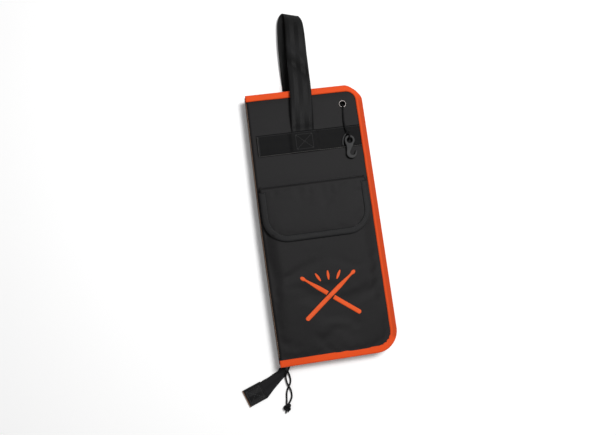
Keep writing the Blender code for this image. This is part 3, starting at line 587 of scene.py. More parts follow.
def panel_levels(half, inset):
    """Heights on the page for a panel's rows, closer together in the corners."""
    top, bottom, top_radius, bottom_radius = half[1], half[2], half[3] - inset, half[4] - inset
    levels = []
    turns = 9
    for index in range(turns):
        levels.append(bottom + inset + bottom_radius * (1 - math.cos(math.pi / 2 * index / turns)))
    low, high = bottom + inset + bottom_radius, top - inset - top_radius
    count = int((high - low) / PANEL_STEP)
    levels += [low + (high - low) * index / count for index in range(count)]
    for index in range(turns + 1):
        levels.append(high + top_radius * math.sin(math.pi / 2 * index / turns))
    return levels


def panel_rows(half, inset, left, height, columns=46, levels=None):
    """Rows of a panel between the spine and the zipped edge. height(x, y) gives each point's z."""
    rows = []
    for y in levels or panel_levels(half, inset):
        edge = right_edge(half, y, inset)
        rows.append([Vector((x, y, height(x, y))) for x in spread(left, edge, columns)])
    return rows


# ---------------------------------------------------------------- cloth simulation

CLOTH_FRAMES = 14
CLOTH_GROWTH = 0.008


def crumple(piece, pinned, limit):
    """Lets a pinned cloth that is cut slightly too large find its own small folds."""
    mesh = piece.data
    rest = np.array([vertex.co for vertex in mesh.vertices])
    group = piece.vertex_groups.new(name="pinned")
    for index, vertex in enumerate(mesh.vertices):
        hold = pinned(vertex.co)
        if hold > 0:
            group.add([index], hold, "REPLACE")
    cloth = piece.modifiers.new("Crumple", "CLOTH")
    cloth.settings.vertex_group_mass = "pinned"
    cloth.settings.quality = 5
    cloth.settings.mass = 0.15
    cloth.settings.tension_stiffness = 25
    cloth.settings.compression_stiffness = 25
    cloth.settings.shear_stiffness = 12
    cloth.settings.bending_stiffness = 0.6
    cloth.settings.shrink_min = -CLOTH_GROWTH
    cloth.settings.effector_weights.gravity = 0.0
    cloth.point_cache.frame_start = 1
    cloth.point_cache.frame_end = CLOTH_FRAMES
    scene = bpy.context.scene
    for number in range(1, CLOTH_FRAMES + 1):
        scene.frame_set(number)
    graph = bpy.context.evaluated_depsgraph_get()
    moved = np.array([vertex.co for vertex in piece.evaluated_get(graph).data.vertices])
    piece.modifiers.remove(cloth)
    scene.frame_set(1)
    if len(moved) != len(rest):
        return
    shift = moved - rest
    length = np.linalg.norm(shift, axis=1, keepdims=True)
    shift *= np.minimum(1.0, limit / np.maximum(length, 1e-9))
    mesh.vertices.foreach_set("co", (rest + shift).astype(np.float32).ravel())
    mesh.update()


def sheet_cut(rows):
    """Width and length of the flat cloth that a grid of rows was sewn from."""
    wide = max(sum((b - a).length for a, b in zip(row, row[1:])) for row in rows)
    column = [row[len(row) // 2] for row in rows]
    return wide, sum((b - a).length for a, b in zip(column, column[1:]))


def soil(piece, amounts):
    """Writes how much painted shade each point of a cloth gets, for its material."""
    # The attribute holds painted shade, read by the cloth material.
    layer = piece.data.attributes.new("soil", "FLOAT", "POINT")
    layer.data.foreach_set("value", np.array(amounts, np.float32))


def surface_of(piece):
    """Search tree over a cloth's own outer face, as it lies after its folds."""
    mesh = piece.data
    return BVHTree.FromPolygons([vertex.co.copy() for vertex in mesh.vertices],
                                [tuple(face.vertices) for face in mesh.polygons])


def lie_height(tree, x, y, otherwise):
    """Height of a cloth's outer face above a point of the page."""
    place_down = tree.ray_cast(Vector((x, y, 0.2)), Vector((0, 0, -1)))[0]
    return otherwise if place_down is None else place_down.z


def lay(piece, tree, lift):
    """Lays a thin flat piece on a cloth, a set distance above it."""
    for vertex in piece.data.vertices:
        vertex.co.z = lie_height(tree, vertex.co.x, vertex.co.y, vertex.co.z - lift) + lift


def settled(spots, tree, lift):
    """Stitches let down onto a cloth."""
    moved = []
    for centre, ahead, up, length, width, height in spots:
        spot = Vector(sway(Vector(centre)))
        level = lie_height(tree, spot.x, spot.y, centre.z - lift)
        moved.append((Vector((centre.x, centre.y, level + lift)), ahead, up, length, width, height))
    return moved


# ---------------------------------------------------------------- camera, light and floor

LAMPS = (("key", (0.54, 0.40, 1.9), 35.5, 0.58), ("fill", (-0.9, -0.5, 1.3), 0.8, 1.2),
         ("rim", (0.2, 1.5, 0.6), 0.8, 0.8))


def set_stage():
    """White sweep, a soft key from the upper right and the camera nearly overhead."""
    azimuth, elevation, roll = math.radians(-44.65), math.radians(82.23), math.radians(-7.95)
    target = Vector((-22.2 * MM, 9.3 * MM, 32 * MM))
    distance = 1.0
    back = Vector((math.sin(azimuth) * math.cos(elevation), -math.cos(azimuth) * math.cos(elevation),
                   math.sin(elevation)))
    right = (-back).cross(Vector((0, 1, 0))).normalized()
    up = right.cross(-back)
    across = right * math.cos(roll) + up * math.sin(roll)
    upward = up * math.cos(roll) - right * math.sin(roll)
    camera_data = bpy.data.cameras.new("camera")
    camera = add_object("camera", camera_data)
    camera_data.sensor_width = 36.0
    camera_data.lens = 33.95
    camera_data.clip_start = 0.05
    matrix = Matrix((across, upward, back)).transposed().to_4x4()
    matrix.translation = target + back * distance
    camera.matrix_world = matrix
    bpy.context.scene.camera = camera

    look, tree, shader = new_look("floor_white")
    place_out = add_node(tree, "ShaderNodeTexCoord").outputs["Object"]
    tone = mix_colour(tree, noise_value(tree, place_out, 3.0), (0.98, 0.98, 0.98), (1.0, 1.0, 1.0))
    tree.links.new(tone, shader.inputs["Base Color"])
    shader.inputs["Roughness"].default_value = 0.9
    shader.inputs["Emission Color"].default_value = (1.0, 1.0, 1.0, 1.0)
    shader.inputs["Emission Strength"].default_value = 0.06
    floor_z = CAD_BOX[0].z
    size = 6.0
    corners = [(x, y, floor_z) for x, y in box_corners(-size, -size, size, size)]
    floor = mesh_piece("floor", corners, [(0, 1, 2, 3)], look)

    world = bpy.context.scene.world or bpy.data.worlds.new("world")
    bpy.context.scene.world = world
    world.use_nodes = True
    world.node_tree.nodes["Background"].inputs["Color"].default_value = (1.0, 1.0, 1.0, 1.0)
    world.node_tree.nodes["Background"].inputs["Strength"].default_value = 0.27

    for name, location, power, width in LAMPS:
        light = bpy.data.lights.new(name, "AREA")
        light.energy = power
        light.size = width
        lamp = add_object(name, light)
        lamp.location = location
        lamp.rotation_euler = (Vector((0, 0, 0)) - Vector(location)).to_track_quat("-Z", "Y").to_euler()
    bpy.context.scene.view_settings.view_transform = "Standard"


# ---------------------------------------------------------------- edge binding

def binding_section():
    """Closed section of the folded tape, as (inset, height above the tape's underside)."""
    high, wide, roll = BIND_HEIGHT, BIND_WIDTH, 2.6 * MM
    outer = [(wide, high - 0.25 * MM), (wide * 0.8, high + 0.02 * MM), (wide * 0.55, high + 0.12 * MM),
             (roll + 1.2 * MM, high)]
    for step in range(9):
        turn = math.pi / 2 + math.pi * step / 8
        outer.append((roll + roll * math.cos(turn), high / 2 + high / 2 * math.sin(turn)))
    outer += [(roll + 1.2 * MM, 0), (wide * 0.55, 0), (wide * 0.8, 0), (wide, 0)]
    inner = []
    for inset, height in reversed(outer):
        toward = 1 if height < high / 2 else -1
        if inset < roll + 0.1 * MM:
            shift = toward * BIND_TAPE * abs(height - high / 2) / (high / 2)
            inner.append((inset + BIND_TAPE, height + shift))
        else:
            inner.append((inset, height + toward * BIND_TAPE))
    return outer + inner


def add_binding(name, half, z_low, body, node, seed, corner_tuck=0.0, notch=None):
    """Edge tape rolled round the panels' edge, slightly uneven, gathered at the corners."""
    section = binding_section()
    rows, painted_shade_amounts = [], []
    for run, point, out, bend in with_run(edge_marks(half)):
        gather = bend * 0.22 * MM * math.sin(run / (1.7 * MM))
        row = []
        for inset, height in section:
            lip = ease((inset - 4 * MM) / (7 * MM))
            wander = lip * 0.35 * MM * ripple(run, height, 24 * MM, seed)
            lift = 0.16 * MM * ripple(run, inset * 3, 15 * MM, seed + 5) + gather * lip
            if z_low < 1 * MM and height < 1 * MM:
                lift = max(lift, 0.0) * 0.3
            if notch and notch[0] < point.x < notch[1] and point.y > 0.2 and height < 1.5 * MM:
                lift = 1.35 * MM - height if height < 1.35 * MM else 0.3 * MM
            tuck = corner_tuck * bend ** 1.6 * (1 - inset / BIND_WIDTH) if point.y > 0 else 0.0
            where = inset + wander + tuck
            row.append(Vector((point.x - out.x * where, point.y - out.y * where, z_low + height + lift)))
            # Painted shade: the tape's outer turn on the right-hand side is darkened, fading out towards the
            # top corner.
            outer_turn = 1 - ease((inset - 6.7 * MM) / (1.0 * MM))
            right_side = ease((point.x - 97 * MM) / (3 * MM))
            painted_shade_amounts.append(outer_turn * right_side * ease((222 * MM - point.y) / (24 * MM)))
        rows.append(row)
    tape = grid_piece(name, rows, ORANGE_TAPE, closed=True)
    soil(tape, painted_shade_amounts)
    place(tape, body, "orange_binding", node)
    spots = []
    for z, side in ((z_low + BIND_HEIGHT, 1), (z_low, -1)):
        if z > 0.5 * MM:
            spots += stitch_spots(edge_line(half, 10.4 * MM, z + 0.06 * MM * side), (0, 0, side))
    thread = capsules(name + "_stitches", spots, ORANGE_THREAD)
    place(thread, body, "orange_binding")
    return tape


# ---------------------------------------------------------------- padded panels

def puff(half, x, y, rise):
    """Padding swells away from the stitched edge and puckers along the seam."""
    away = edge_distance(half, x, y) - BIND_WIDTH
    if away < 0.8 * MM:
        return -0.55 * MM
    swell = (rise + 0.5 * MM) * (1 - math.exp(-(away - 0.8 * MM) / (5 * MM))) - 0.5 * MM
    phase = (x + y) / (3.1 * MM) + 2 * ripple(x, y, 30 * MM, 3)
    pucker = 0.28 * MM * math.exp(-away / (7 * MM)) * math.sin(phase)
    return swell + pucker * min(1.0, away / (2 * MM))


def punch(cloth, spot, radius):
    """Cuts the round hole that the eyelet closes round."""
    apply_modifiers(cloth)
    turns = [2 * math.pi * step / 32 for step in range(32)]
    circle = [(spot.x + radius * math.cos(turn), spot.y + radius * math.sin(turn)) for turn in turns]
    points = [(x, y, z) for z in (20 * MM, 40 * MM) for x, y in circle]
    sides = [(step, (step + 1) % 32, 32 + (step + 1) % 32, 32 + step) for step in range(32)]
    mesh = bpy.data.meshes.new("punch")
    mesh.from_pydata(points, [], sides + [tuple(range(31, -1, -1)), tuple(range(32, 64))])
    tool = add_object("punch", mesh)
    hole = cloth.modifiers.new("Hole", "BOOLEAN")
    hole.operation = "DIFFERENCE"
    hole.solver = "EXACT"
    hole.object = tool
    apply_modifiers(cloth)
    bpy.data.objects.remove(tool)


def panel_cloth(name, half, height, columns, look, thickness, faces_down=False):
    """A panel's sheet from the spine to the zipped edge."""
    rows = panel_rows(half, PANEL_INSET, SPINE_X + 1 * MM, height, columns)
    return grid_piece(name, flipped(rows) if faces_down else rows, look, thickness)


def add_panels():
    """Front and back: padded outer cloth, lining, and the foam between them."""
    def front_height(x, y):
        soft = 0.35 * MM * ripple(x, y, 70 * MM, 1) + 0.12 * MM * ripple(x, y, 18 * MM, 2)
        seam = 0.8 * MM * hump(y - FLAP_SEAM_Y, 7 * MM)
        away = ease((edge_distance(FRONT_HALF, x, y) - 12 * MM) / (20 * MM))
        return FRONT_FACE + puff(FRONT_HALF, x, y, 0.5 * MM) + (soft - seam) * away

    front = panel_cloth("front_panel_cloth", FRONT_HALF, front_height, 46, NYLON, SHELL_CLOTH)
    punch(front, EYELET, 4.7 * MM)
    place(front, "front_half", "shell_nylon", "front_shell")

    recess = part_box("back_shell")[1].y - 40 * MM

    def back_height(x, y):
        away = edge_distance(BACK_HALF, x, y) - BIND_WIDTH
        sag = ease(away / (6 * MM)) * ease((x - SPINE_X) / (4 * MM))
        sag *= 1 - ease((y - recess + 4 * MM) / (6 * MM))
        soft = 0.25 * MM * (1 + ripple(x, y, 60 * MM, 8)) * 0.5
        return 1.3 * MM * (1 - sag) + sag * soft * 0.4

    back = panel_cloth("back_panel_cloth", BACK_HALF, back_height, 46, NYLON, SHELL_CLOTH, True)
    place(back, "back_half", "shell_nylon", "back_shell")

    def front_lining_height(x, y):
        return FRONT_LINING_Z + 0.2 * MM + 0.2 * MM * ripple(x, y, 45 * MM, 11)

    def back_lining_height(x, y):
        return BACK_LINING_Z - 0.2 * MM + 0.2 * MM * ripple(x, y, 45 * MM, 12)

    front_lining = panel_cloth("front_lining_cloth", FRONT_HALF, front_lining_height, 30, LINING,
                               LINING_CLOTH, True)
    punch(front_lining, EYELET, 5.1 * MM)
    place(front_lining, "front_half", "lining", "front_lining")
    back_lining = panel_cloth("back_lining_cloth", BACK_HALF, back_lining_height, 30, LINING, LINING_CLOTH)
    place(back_lining, "back_half", "lining", "back_lining")

    for node in ("front_foam", "back_foam"):
        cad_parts[node].data.materials[0] = FOAM


def add_spine():
    """The spine's cloth bows out a little between the halves."""
    low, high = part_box("spine_gusset")
    depth = high.z - low.z
    rows = []
    for y in spread(low.y, high.y, 120):
        end = min(1.0, min(y - low.y, high.y - y) / (10 * MM))
        row = []
        for part in range(13):
            share = part / 12
            inset = 5.2 * MM * (1 - ease(end))
            z = low.z + inset + (depth - 2 * inset) * share
            bow = 0.9 * MM * math.sin(math.pi * share) + 0.3 * MM * ripple(y, z, 32 * MM, 21)
            crease = 0.5 * MM * hump(share - 0.5, 0.08)
            row.append(Vector((SPINE_X - bow + crease + 0.3 * MM, y, z)))
        rows.append(row)
    spine = grid_piece("spine_cloth", flipped(rows), NYLON, 0.9 * MM)
    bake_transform(spine)
    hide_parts("spine_gusset")

    line = []
    for index in range(161):
        y = low.y + 12 * MM + (high.y - low.y - 24 * MM) * index / 160
        line.append(Vector((SPINE_X + 0.1 * MM + 0.15 * MM * ripple(y, 0, 9 * MM, 4), y,
                            FRONT_FACE - 0.5 * MM + 0.2 * MM * ripple(y, 3, 20 * MM, 5))))
    raw = tube_piece("spine_raw_edge", line, 0.42 * MM, RAW_EDGE, 6)
    place(raw, "front_half", "shell_nylon")


# ---------------------------------------------------------------- zip

def add_stringer(name, node, body, half_high):
    """Zip tape standing on the binding, with the teeth of its coil along the free edge."""
    low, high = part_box(node)
    direction = 1 if half_high else -1
    foot, tip = (low.z, high.z) if half_high else (high.z, low.z)
    start = SPINE_X + 2.4 * MM
    rows = []
    for run, point, out, _ in with_run(edge_marks(FRONT_HALF, 2 * MM, start)):
        row = []
        for part in range(7):
            share = part / 6
            wobble = 0.45 * MM * ripple(run, share * 20 * MM, 30 * MM, 31) * math.sin(math.pi * share)
            wobble *= ease((point.y + 225 * MM) / (20 * MM))
            inset = STRINGER_INSET + wobble
            row.append(Vector((point.x - out.x * inset, point.y - out.y * inset,
                               foot + (tip - direction * 0.7 * MM - foot) * share)))
        rows.append(row)
    tape = grid_piece(name + "_tape", flipped(rows) if half_high else rows, ZIP_TAPE, 0.7 * MM, 0.0)
    place(tape, body, "zip_tape", node)
    line = edge_line(FRONT_HALF, STRINGER_INSET, tip - direction * 1.2 * MM, start)
    pitch = 1.5 * MM
    teeth = resample(line, int(route_length(line) / pitch))
    spots = []
    for index in range(1, len(teeth) - 1):
        ahead = (teeth[index + 1] - teeth[index - 1]).normalized()
        out = ahead.cross(Vector((0, 0, 1)))
        for side in (-1, 1):
            lean = Vector((0, 0, direction)) + ahead * 0.18 * side
            spots.append((teeth[index] + out * side * 0.55 * MM, lean, out, 2.4 * MM, 0.85 * MM, 0.9 * MM))
    coil = capsules(name + "_coil", spots, COIL, 5)
    place(coil, body, "zip_tape")


def rounded_bar(name, outline, low, high, look, round_by, axis_matrix=None):
    """An outline in plan with a thickness and rounded edges, optionally turned by a matrix."""
    count = len(outline)
    points = [Vector((x, y, low)) for x, y in outline] + [Vector((x, y, high)) for x, y in outline]
    faces = [tuple(range(count - 1, -1, -1)), tuple(range(count, 2 * count))]
    for index in range(count):
        after = (index + 1) % count
        faces.append((index, after, count + after, count + index))
    if axis_matrix is not None:
        points = [axis_matrix @ point for point in points]
    weave = [(point.x, point.y) for point in points]
    piece = mesh_piece(name, points, faces, look, weave)
    bevel = piece.modifiers.new("Round", "BEVEL")
    bevel.width = round_by
    bevel.segments = 3
    bevel.limit_method = "ANGLE"
    bevel.angle_limit = math.radians(50)
    piece.modifiers.new("Even", "WEIGHTED_NORMAL").keep_sharp = True
    return piece


def arc_points(centre, radius, start, end, steps):
    return [(centre[0] + radius * math.cos(math.radians(start + (end - start) * step / steps)),
             centre[1] + radius * math.sin(math.radians(start + (end - start) * step / steps)))
            for step in range(steps + 1)]


def add_slider():
    """A coil slider: two shield-shaped wings, neck, lugs and pin, all in black paint."""
    low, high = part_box("slider_body")
    centre_x = (low.x + high.x) / 2
    outline = arc_points((-4.6 * MM, 3.4 * MM), 1.4 * MM, 90, 180, 5)
    outline += arc_points((-4.6 * MM, -3.4 * MM), 1.4 * MM, 180, 270, 5)
    outline += arc_points((3.6 * MM, -2.8 * MM), 2.4 * MM, 270, 340, 6)
    outline += arc_points((3.6 * MM, 2.8 * MM), 2.4 * MM, 20, 90, 6)
    stand = Matrix(((1, 0, 0), (0, 0, -1), (0, 1, 0))).to_4x4()
    pieces = []
    wing = 1.3 * MM
    outer_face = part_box("back_stringer")[0].y - 0.4 * MM
    inner_face = outer_face + 2 * 1.5 * MM
    for face in (outer_face, inner_face + wing):
        matrix = Matrix.Translation((centre_x, face, MID_Z)) @ stand
        pieces.append(rounded_bar("wing", outline, 0, wing, BLACK_METAL, 0.45 * MM, matrix))
    neck = box_corners(-1.4 * MM, -0.5 * MM, 1.4 * MM, 0.5 * MM)
    matrix = Matrix.Translation((centre_x + 3.4 * MM, inner_face + 0.2 * MM, MID_Z)) @ stand
    pieces.append(rounded_bar("neck", neck, 0, 3.4 * MM, BLACK_METAL, 0.2 * MM, matrix))
    pin_y = low.y + 1.2 * MM
    lug = arc_points((0, 0), 1.6 * MM, 90, 270, 8) + [(4.6 * MM, -1.6 * MM), (4.6 * MM, 1.6 * MM)]
    turn = Matrix(((0, 0, 1), (1, 0, 0), (0, 1, 0))).to_4x4()
    for side in (-1, 1):
        matrix = Matrix.Translation((centre_x + side * 3.4 * MM - 0.6 * MM, pin_y, MID_Z)) @ turn
        pieces.append(rounded_bar("lug", lug, 0, 1.2 * MM, BLACK_METAL, 0.3 * MM, matrix))
    pin = [Vector((centre_x + offset * MM, pin_y, MID_Z)) for offset in (-3.8, -1, 1, 3.8)]
    pieces.append(tube_piece("pin", pin, 0.6 * MM, BLACK_METAL, 12))
    for piece in pieces:
        apply_modifiers(piece)
    slider = joined("zip_slider_body", pieces)
    place(slider, "zip_slider", "zip_metal", "slider_body")

    pivot = Vector((centre_x, pin_y, MID_Z))
    drop = math.radians(44)
    along = Vector((0, -math.cos(drop), -math.sin(drop)))
    across = Vector((1, 0, 0))
    axes = Matrix((along, across.cross(along), across)).transposed().to_4x4()
    frame_matrix = Matrix.Translation(pivot) @ axes
    barrel = tube_ring("barrel", frame_matrix, 1.75 * MM, 0.95 * MM, 4.4 * MM, BLACK_METAL)
    side_on = Matrix((along, across, across.cross(along) * -1)).transposed().to_4x4()
    side_on.translation = pivot
    leaf = [(1.5 * MM, -2.0 * MM), (4 * MM, -1.7 * MM)]
    leaf += arc_points((10.6 * MM, 0), 2.6 * MM, -100, 100, 12)
    leaf += [(4 * MM, 1.7 * MM), (1.5 * MM, 2.0 * MM)]
    plate = rounded_bar("leaf", leaf, -0.5 * MM, 0.5 * MM, BLACK_METAL, 0.25 * MM, side_on)
    apply_modifiers(plate)
    tab = joined("zip_pull_tab", [barrel, plate])
    place(tab, "zip_pull", "zip_metal", "pull_tab")


def tube_ring(name, matrix, outer, inner, width, look):
    """A short hollow cylinder along the matrix's Z axis."""
    ease_off = 0.2 * MM
    profile = [(outer, -width / 2 + ease_off), (outer - ease_off, -width / 2), (inner, -width / 2),
               (inner, width / 2), (outer - ease_off, width / 2), (outer, width / 2 - ease_off)]
    return turned(name, list(reversed(profile)), matrix, look, 24)


def ring_faces(rings, sides):
    """Faces between rings of points that close on themselves both ways."""
    faces = []
    for ring in range(rings):
        here, after = ring * sides, (ring + 1) % rings * sides
        for side in range(sides):
            follow = (side + 1) % sides
            faces.append((here + side, after + side, after + follow, here + follow))
    return faces


def turned(name, profile, matrix, look, steps=48):
    """A closed profile of (radius, height) turned about the matrix's Z axis."""
    count = len(profile)
    points = []
    for step in range(steps):
        turn = 2 * math.pi * step / steps
        for radius, height in profile:
            points.append(matrix @ Vector((radius * math.cos(turn), radius * math.sin(turn), height)))
    return mesh_piece(name, points, ring_faces(steps, count), look, [(point.x, point.y) for point in points])


# ---------------------------------------------------------------- cords and knots

PULL_ROUTE_A = ((-93.7, -247.0, 7.6), (-94.6, -250.5, 6.7), (-95.3, -255.2, 5.5), (-95.0, -262, 3.8),
                (-93.8, -267.6, 4.3), (-91.6, -272.6, 5.3), (-89.8, -277.5, 4.2), (-89.2, -283.4, 2.0),
                (-89.6, -290, 1.8), (-92.4, -295.6, 2.4), (-95.2, -299.2, 3.2), (-97.6, -302.4, 4.4))
PULL_ROUTE_B = ((-90.3, -247.0, 7.6), (-89.4, -250.5, 5.8), (-88.4, -255.5, 3.0), (-88.0, -262, 1.8),
                (-89.6, -268, 1.7), (-92.8, -272.8, 1.65), (-95.8, -278, 1.7), (-97.6, -284, 1.8),
                (-98.4, -290.5, 1.8), (-99.0, -295.5, 2.4), (-99.6, -299.4, 3.2), (-99.8, -302.8, 4.4))
HANG_ROUTE = ((66.0, 198.4, 35.9), (65.4, 193.0, 35.3), (64.4, 184.0, 34.8), (63.6, 174.0, 35.3),
              (63.4, 165.8, 36.4), (64.0, 157.0, 37.8), (65.4, 151.0, 39.4), (66.6, 147.4, 40.4))
LOOSE_TAIL = ((66.5, 146.5, 38.6), (62.6, 145.0, 38.0), (58.6, 140.4, 36.6), (56.4, 133.0, 36.1),
              (56.0, 126.0, 36.1))


def trefoil(centre, size, turn):
    """An overhand knot's line, closed on itself, lying flat and turned in plan."""
    spin = Matrix.Rotation(turn, 3, "Z")
    points = []
    for step in range(72):
        angle = 2 * math.pi * step / 72
        spot = Vector((math.sin(angle) + 2 * math.sin(2 * angle), math.cos(angle) - 2 * math.cos(2 * angle),
                       -math.sin(3 * angle)))
        points.append(centre + spin @ Vector((spot.x * size.x / 3, spot.y * size.y / 3, spot.z * size.z)))
    return points


def closed_tube(name, path, radius, look):
    """A tube whose line closes on itself."""
    sides = 10
    rings = tube_rows(path, radius, sides, closed=True)
    points = [point for ring in rings for point in ring]
    faces = [face[1:] + face[:1] for face in ring_faces(len(rings), sides)]
    weave = [(2 * math.pi * radius * side / sides, index * 1.2 * MM)
             for index in range(len(rings)) for side in range(sides)]
    return mesh_piece(name, points, faces, look, weave)


def declare_cord(path):
    tuple(path[0])
    route_length(path)
    [tuple(point) for point in path]


def add_pull_cord():
    """The zip pull's two strands and the knot that ends them."""
    low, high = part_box("pull_knot")
    centre = (low + high) / 2
    line = trefoil(centre + Vector((0.8 * MM, 0.4 * MM, 0.2 * MM)), Vector((6.0, 4.8, 1.9)) * MM,
                   math.radians(22))
    knot = closed_tube("zip_pull_knot", line, CORD / 2 * 1.2, BRAID)
    ends = []
    for offset, length in ((-2.2, 7.0), (1.6, 5.5)):
        start = centre + Vector((offset * MM, -2.0 * MM, -1.2 * MM))
        path = [start, start + Vector((-0.3 * MM, -length * 0.5 * MM, -0.5 * MM)),
                start + Vector((-0.9 * MM, -length * MM, -1.4 * MM))]
        ends.append(tube_piece("knot_end", path, CORD / 2 * 0.9, BRAID))
    knot = joined("zip_pull_knot", [knot, *ends])
    place(knot, "zip_pull", "cord", "pull_knot")
    for node, route in (("pull_cord_a", PULL_ROUTE_A), ("pull_cord_b", PULL_ROUTE_B)):
        path = smooth_route(route, 60)
        strand = tube_piece("zip_" + node, path, CORD / 2, BRAID, 12)
        place(strand, "zip_pull", "cord", node)
        declare_cord(path)


def hook_outline():
    """A flat hook: closed ring above, open J below, about the ring's centre."""
    bend, inside = (4.0 * MM, -22.3 * MM), (5.6 * MM, -21.4 * MM)
    points = arc_points((0, 0), 9.0 * MM, -42, 205, 40)
    points += [(-7.2 * MM, -6.6 * MM), (-5.7 * MM, -9.5 * MM), (-5.0 * MM, -13.5 * MM),
               (-4.9 * MM, -17.5 * MM)]
    points += arc_points(bend, 9.2 * MM, 168, 375, 32)
    points += [(13.3 * MM, -17.6 * MM), (12.9 * MM, -16.1 * MM), (11.9 * MM, -16.2 * MM),
               (10.7 * MM, -18.8 * MM)]
    points += arc_points(inside, 4.2 * MM, -5, -180, 20)
    points += [(2.0 * MM, -18.6 * MM), (3.6 * MM, -15.0 * MM), (5.4 * MM, -11.2 * MM), (6.6 * MM, -8.0 * MM)]
    return points


def add_hook():
    """Cord from the eyelet, loop and knot through the hook's ring, and the plastic hook."""
    loop_low, loop_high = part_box("hook_loop")
    ring = Vector(((loop_low.x + loop_high.x) / 2 + 0.2 * MM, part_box("hang_hook")[1].y - 8.5 * MM,
                   (loop_low.z + loop_high.z) / 2 - 0.3 * MM))
    ring += Vector((-1.8 * MM, -1.4 * MM, 0))
    lean = Matrix.Rotation(math.radians(-8), 4, "Z") @ Matrix.Rotation(math.radians(5), 4, "X")
    hole = arc_points((0, 0), 5 * MM, 0, 360 - 360 / 40, 39)
    thick = 3.4 * MM
    curve = bpy.data.curves.new("hook", "CURVE")
    curve.dimensions = "2D"
    curve.fill_mode = "BOTH"
    curve.extrude = thick / 2 - 0.9 * MM
    curve.bevel_depth = 0.9 * MM
    curve.bevel_resolution = 4
    curve.offset = -0.9 * MM
    for points in (hook_outline(), hole):
        spline = curve.splines.new("POLY")
        spline.points.add(len(points) - 1)
        for spot, (x, y) in zip(spline.points, points):
            spot.co = (x, y, 0, 1)
        spline.use_cyclic_u = True
    curve.materials.append(PLASTIC)
    shape = add_object("hook_shape", curve)
    bpy.context.view_layer.update()
    mesh = baked(shape)
    bpy.data.objects.remove(shape)
    mesh.transform(Matrix.Translation(ring) @ lean)
    mesh.materials.clear()
    mesh.materials.append(PLASTIC)
    mesh.shade_smooth()
    mesh.set_sharp_from_angle(angle=math.radians(40))
    hook = add_object("hanging_hook", mesh)
    place(hook, "hook_carrier", "hook_plastic", "hang_hook")

    link = ring + Vector((-0.2 * MM, 6.65 * MM, 0.3 * MM))
    turns = [2 * math.pi * step / 40 for step in range(40)]
    circle = [link + Vector((0.5 * MM * math.sin(turn), 4.5 * MM * math.cos(turn), 4.5 * MM * math.sin(turn)))
              for turn in turns]
    loop = closed_tube("loop", circle, 1.4 * MM, BRAID)
    line = trefoil(link + Vector((0, 6.6 * MM, -0.6 * MM)), Vector((3.3, 2.6, 1.1)) * MM, 0.4)
    knot = closed_tube("knot", line, 1.35 * MM, BRAID)
    # The loose tail is in the paler thread colour, a painted highlight on the cord's end.
    tail = tube_piece("tail", smooth_route(LOOSE_TAIL, 24), 1.2 * MM, BLACK_THREAD)
    loop = joined("hook_loop_and_knot", [loop, knot, tail])
    place(loop, "hook_carrier", "cord", "hook_loop")

    path = smooth_route(HANG_ROUTE, 60)
    strand = tube_piece("hanging_cord", path, CORD / 2, BRAID, 12)
    place(strand, "hook_carrier", "cord", "hang_cord")
    declare_cord(path)


def add_eyelet():
    """Rolled eyelet, its washer inside the bag, and the cord's stop knot under it."""
    top = GROMMET_HIGH.z
    low = GROMMET_LOW.z
    outer = (GROMMET_HIGH.x - GROMMET_LOW.x) / 2
    bore = 4.2 * MM
    profile = [(bore, low)]
    for step in range(9):
        turn = math.pi * step / 8
        middle = (bore + 0.4 * MM + outer) / 2
        half_width = (outer - bore - 0.4 * MM) / 2
        profile.append((middle - half_width * math.cos(turn), top - 0.9 * MM + 0.9 * MM * math.sin(turn)))
    profile += [(outer - 0.2 * MM, top - 1.15 * MM), (4.7 * MM, top - 1.15 * MM), (4.7 * MM, low)]
    matrix = Matrix.Translation((EYELET.x, EYELET.y, 0))
    ring = turned("eyelet", list(reversed(profile)), matrix, NICKEL)
    place(ring, "front_half", "nickel", "grommet")
    washer_low, washer_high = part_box("grommet_washer")
    wide = (washer_high.x - washer_low.x) / 2
    profile = [(4.9 * MM, washer_high.z), (wide, washer_high.z), (wide, washer_high.z - 0.3 * MM),
               (wide - 1 * MM, washer_low.z), (5.6 * MM, washer_low.z), (4.9 * MM, washer_low.z + 0.2 * MM)]
    place(turned("eyelet_washer", profile, matrix, NICKEL), "front_half", "nickel", "grommet_washer")

    centre = Vector((EYELET.x, EYELET.y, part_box("hang_cord_knot")[0].z + 4.9 * MM))
    knot = closed_tube("stop_knot", trefoil(centre, Vector((3.9, 3.9, 2.6)) * MM, 0.9), CORD / 2, BRAID)
    x, y = EYELET.x / MM, EYELET.y / MM
    stub = smooth_route(((x, y, centre.z / MM), (x, y - 1.0, 28.5), (x, y - 1.6, 32.5),
                         (x + 0.05, y - 1.9, 35.0), (x + 0.1, y - 2.8, 36.0)), 24)
    stem = tube_piece("stem", stub, CORD / 2, BRAID, 12)
    place(joined("cord_stop_knot", [knot, stem]), "front_half", "cord", "hang_cord_knot")


# ---------------------------------------------------------------- webbing: band and handle

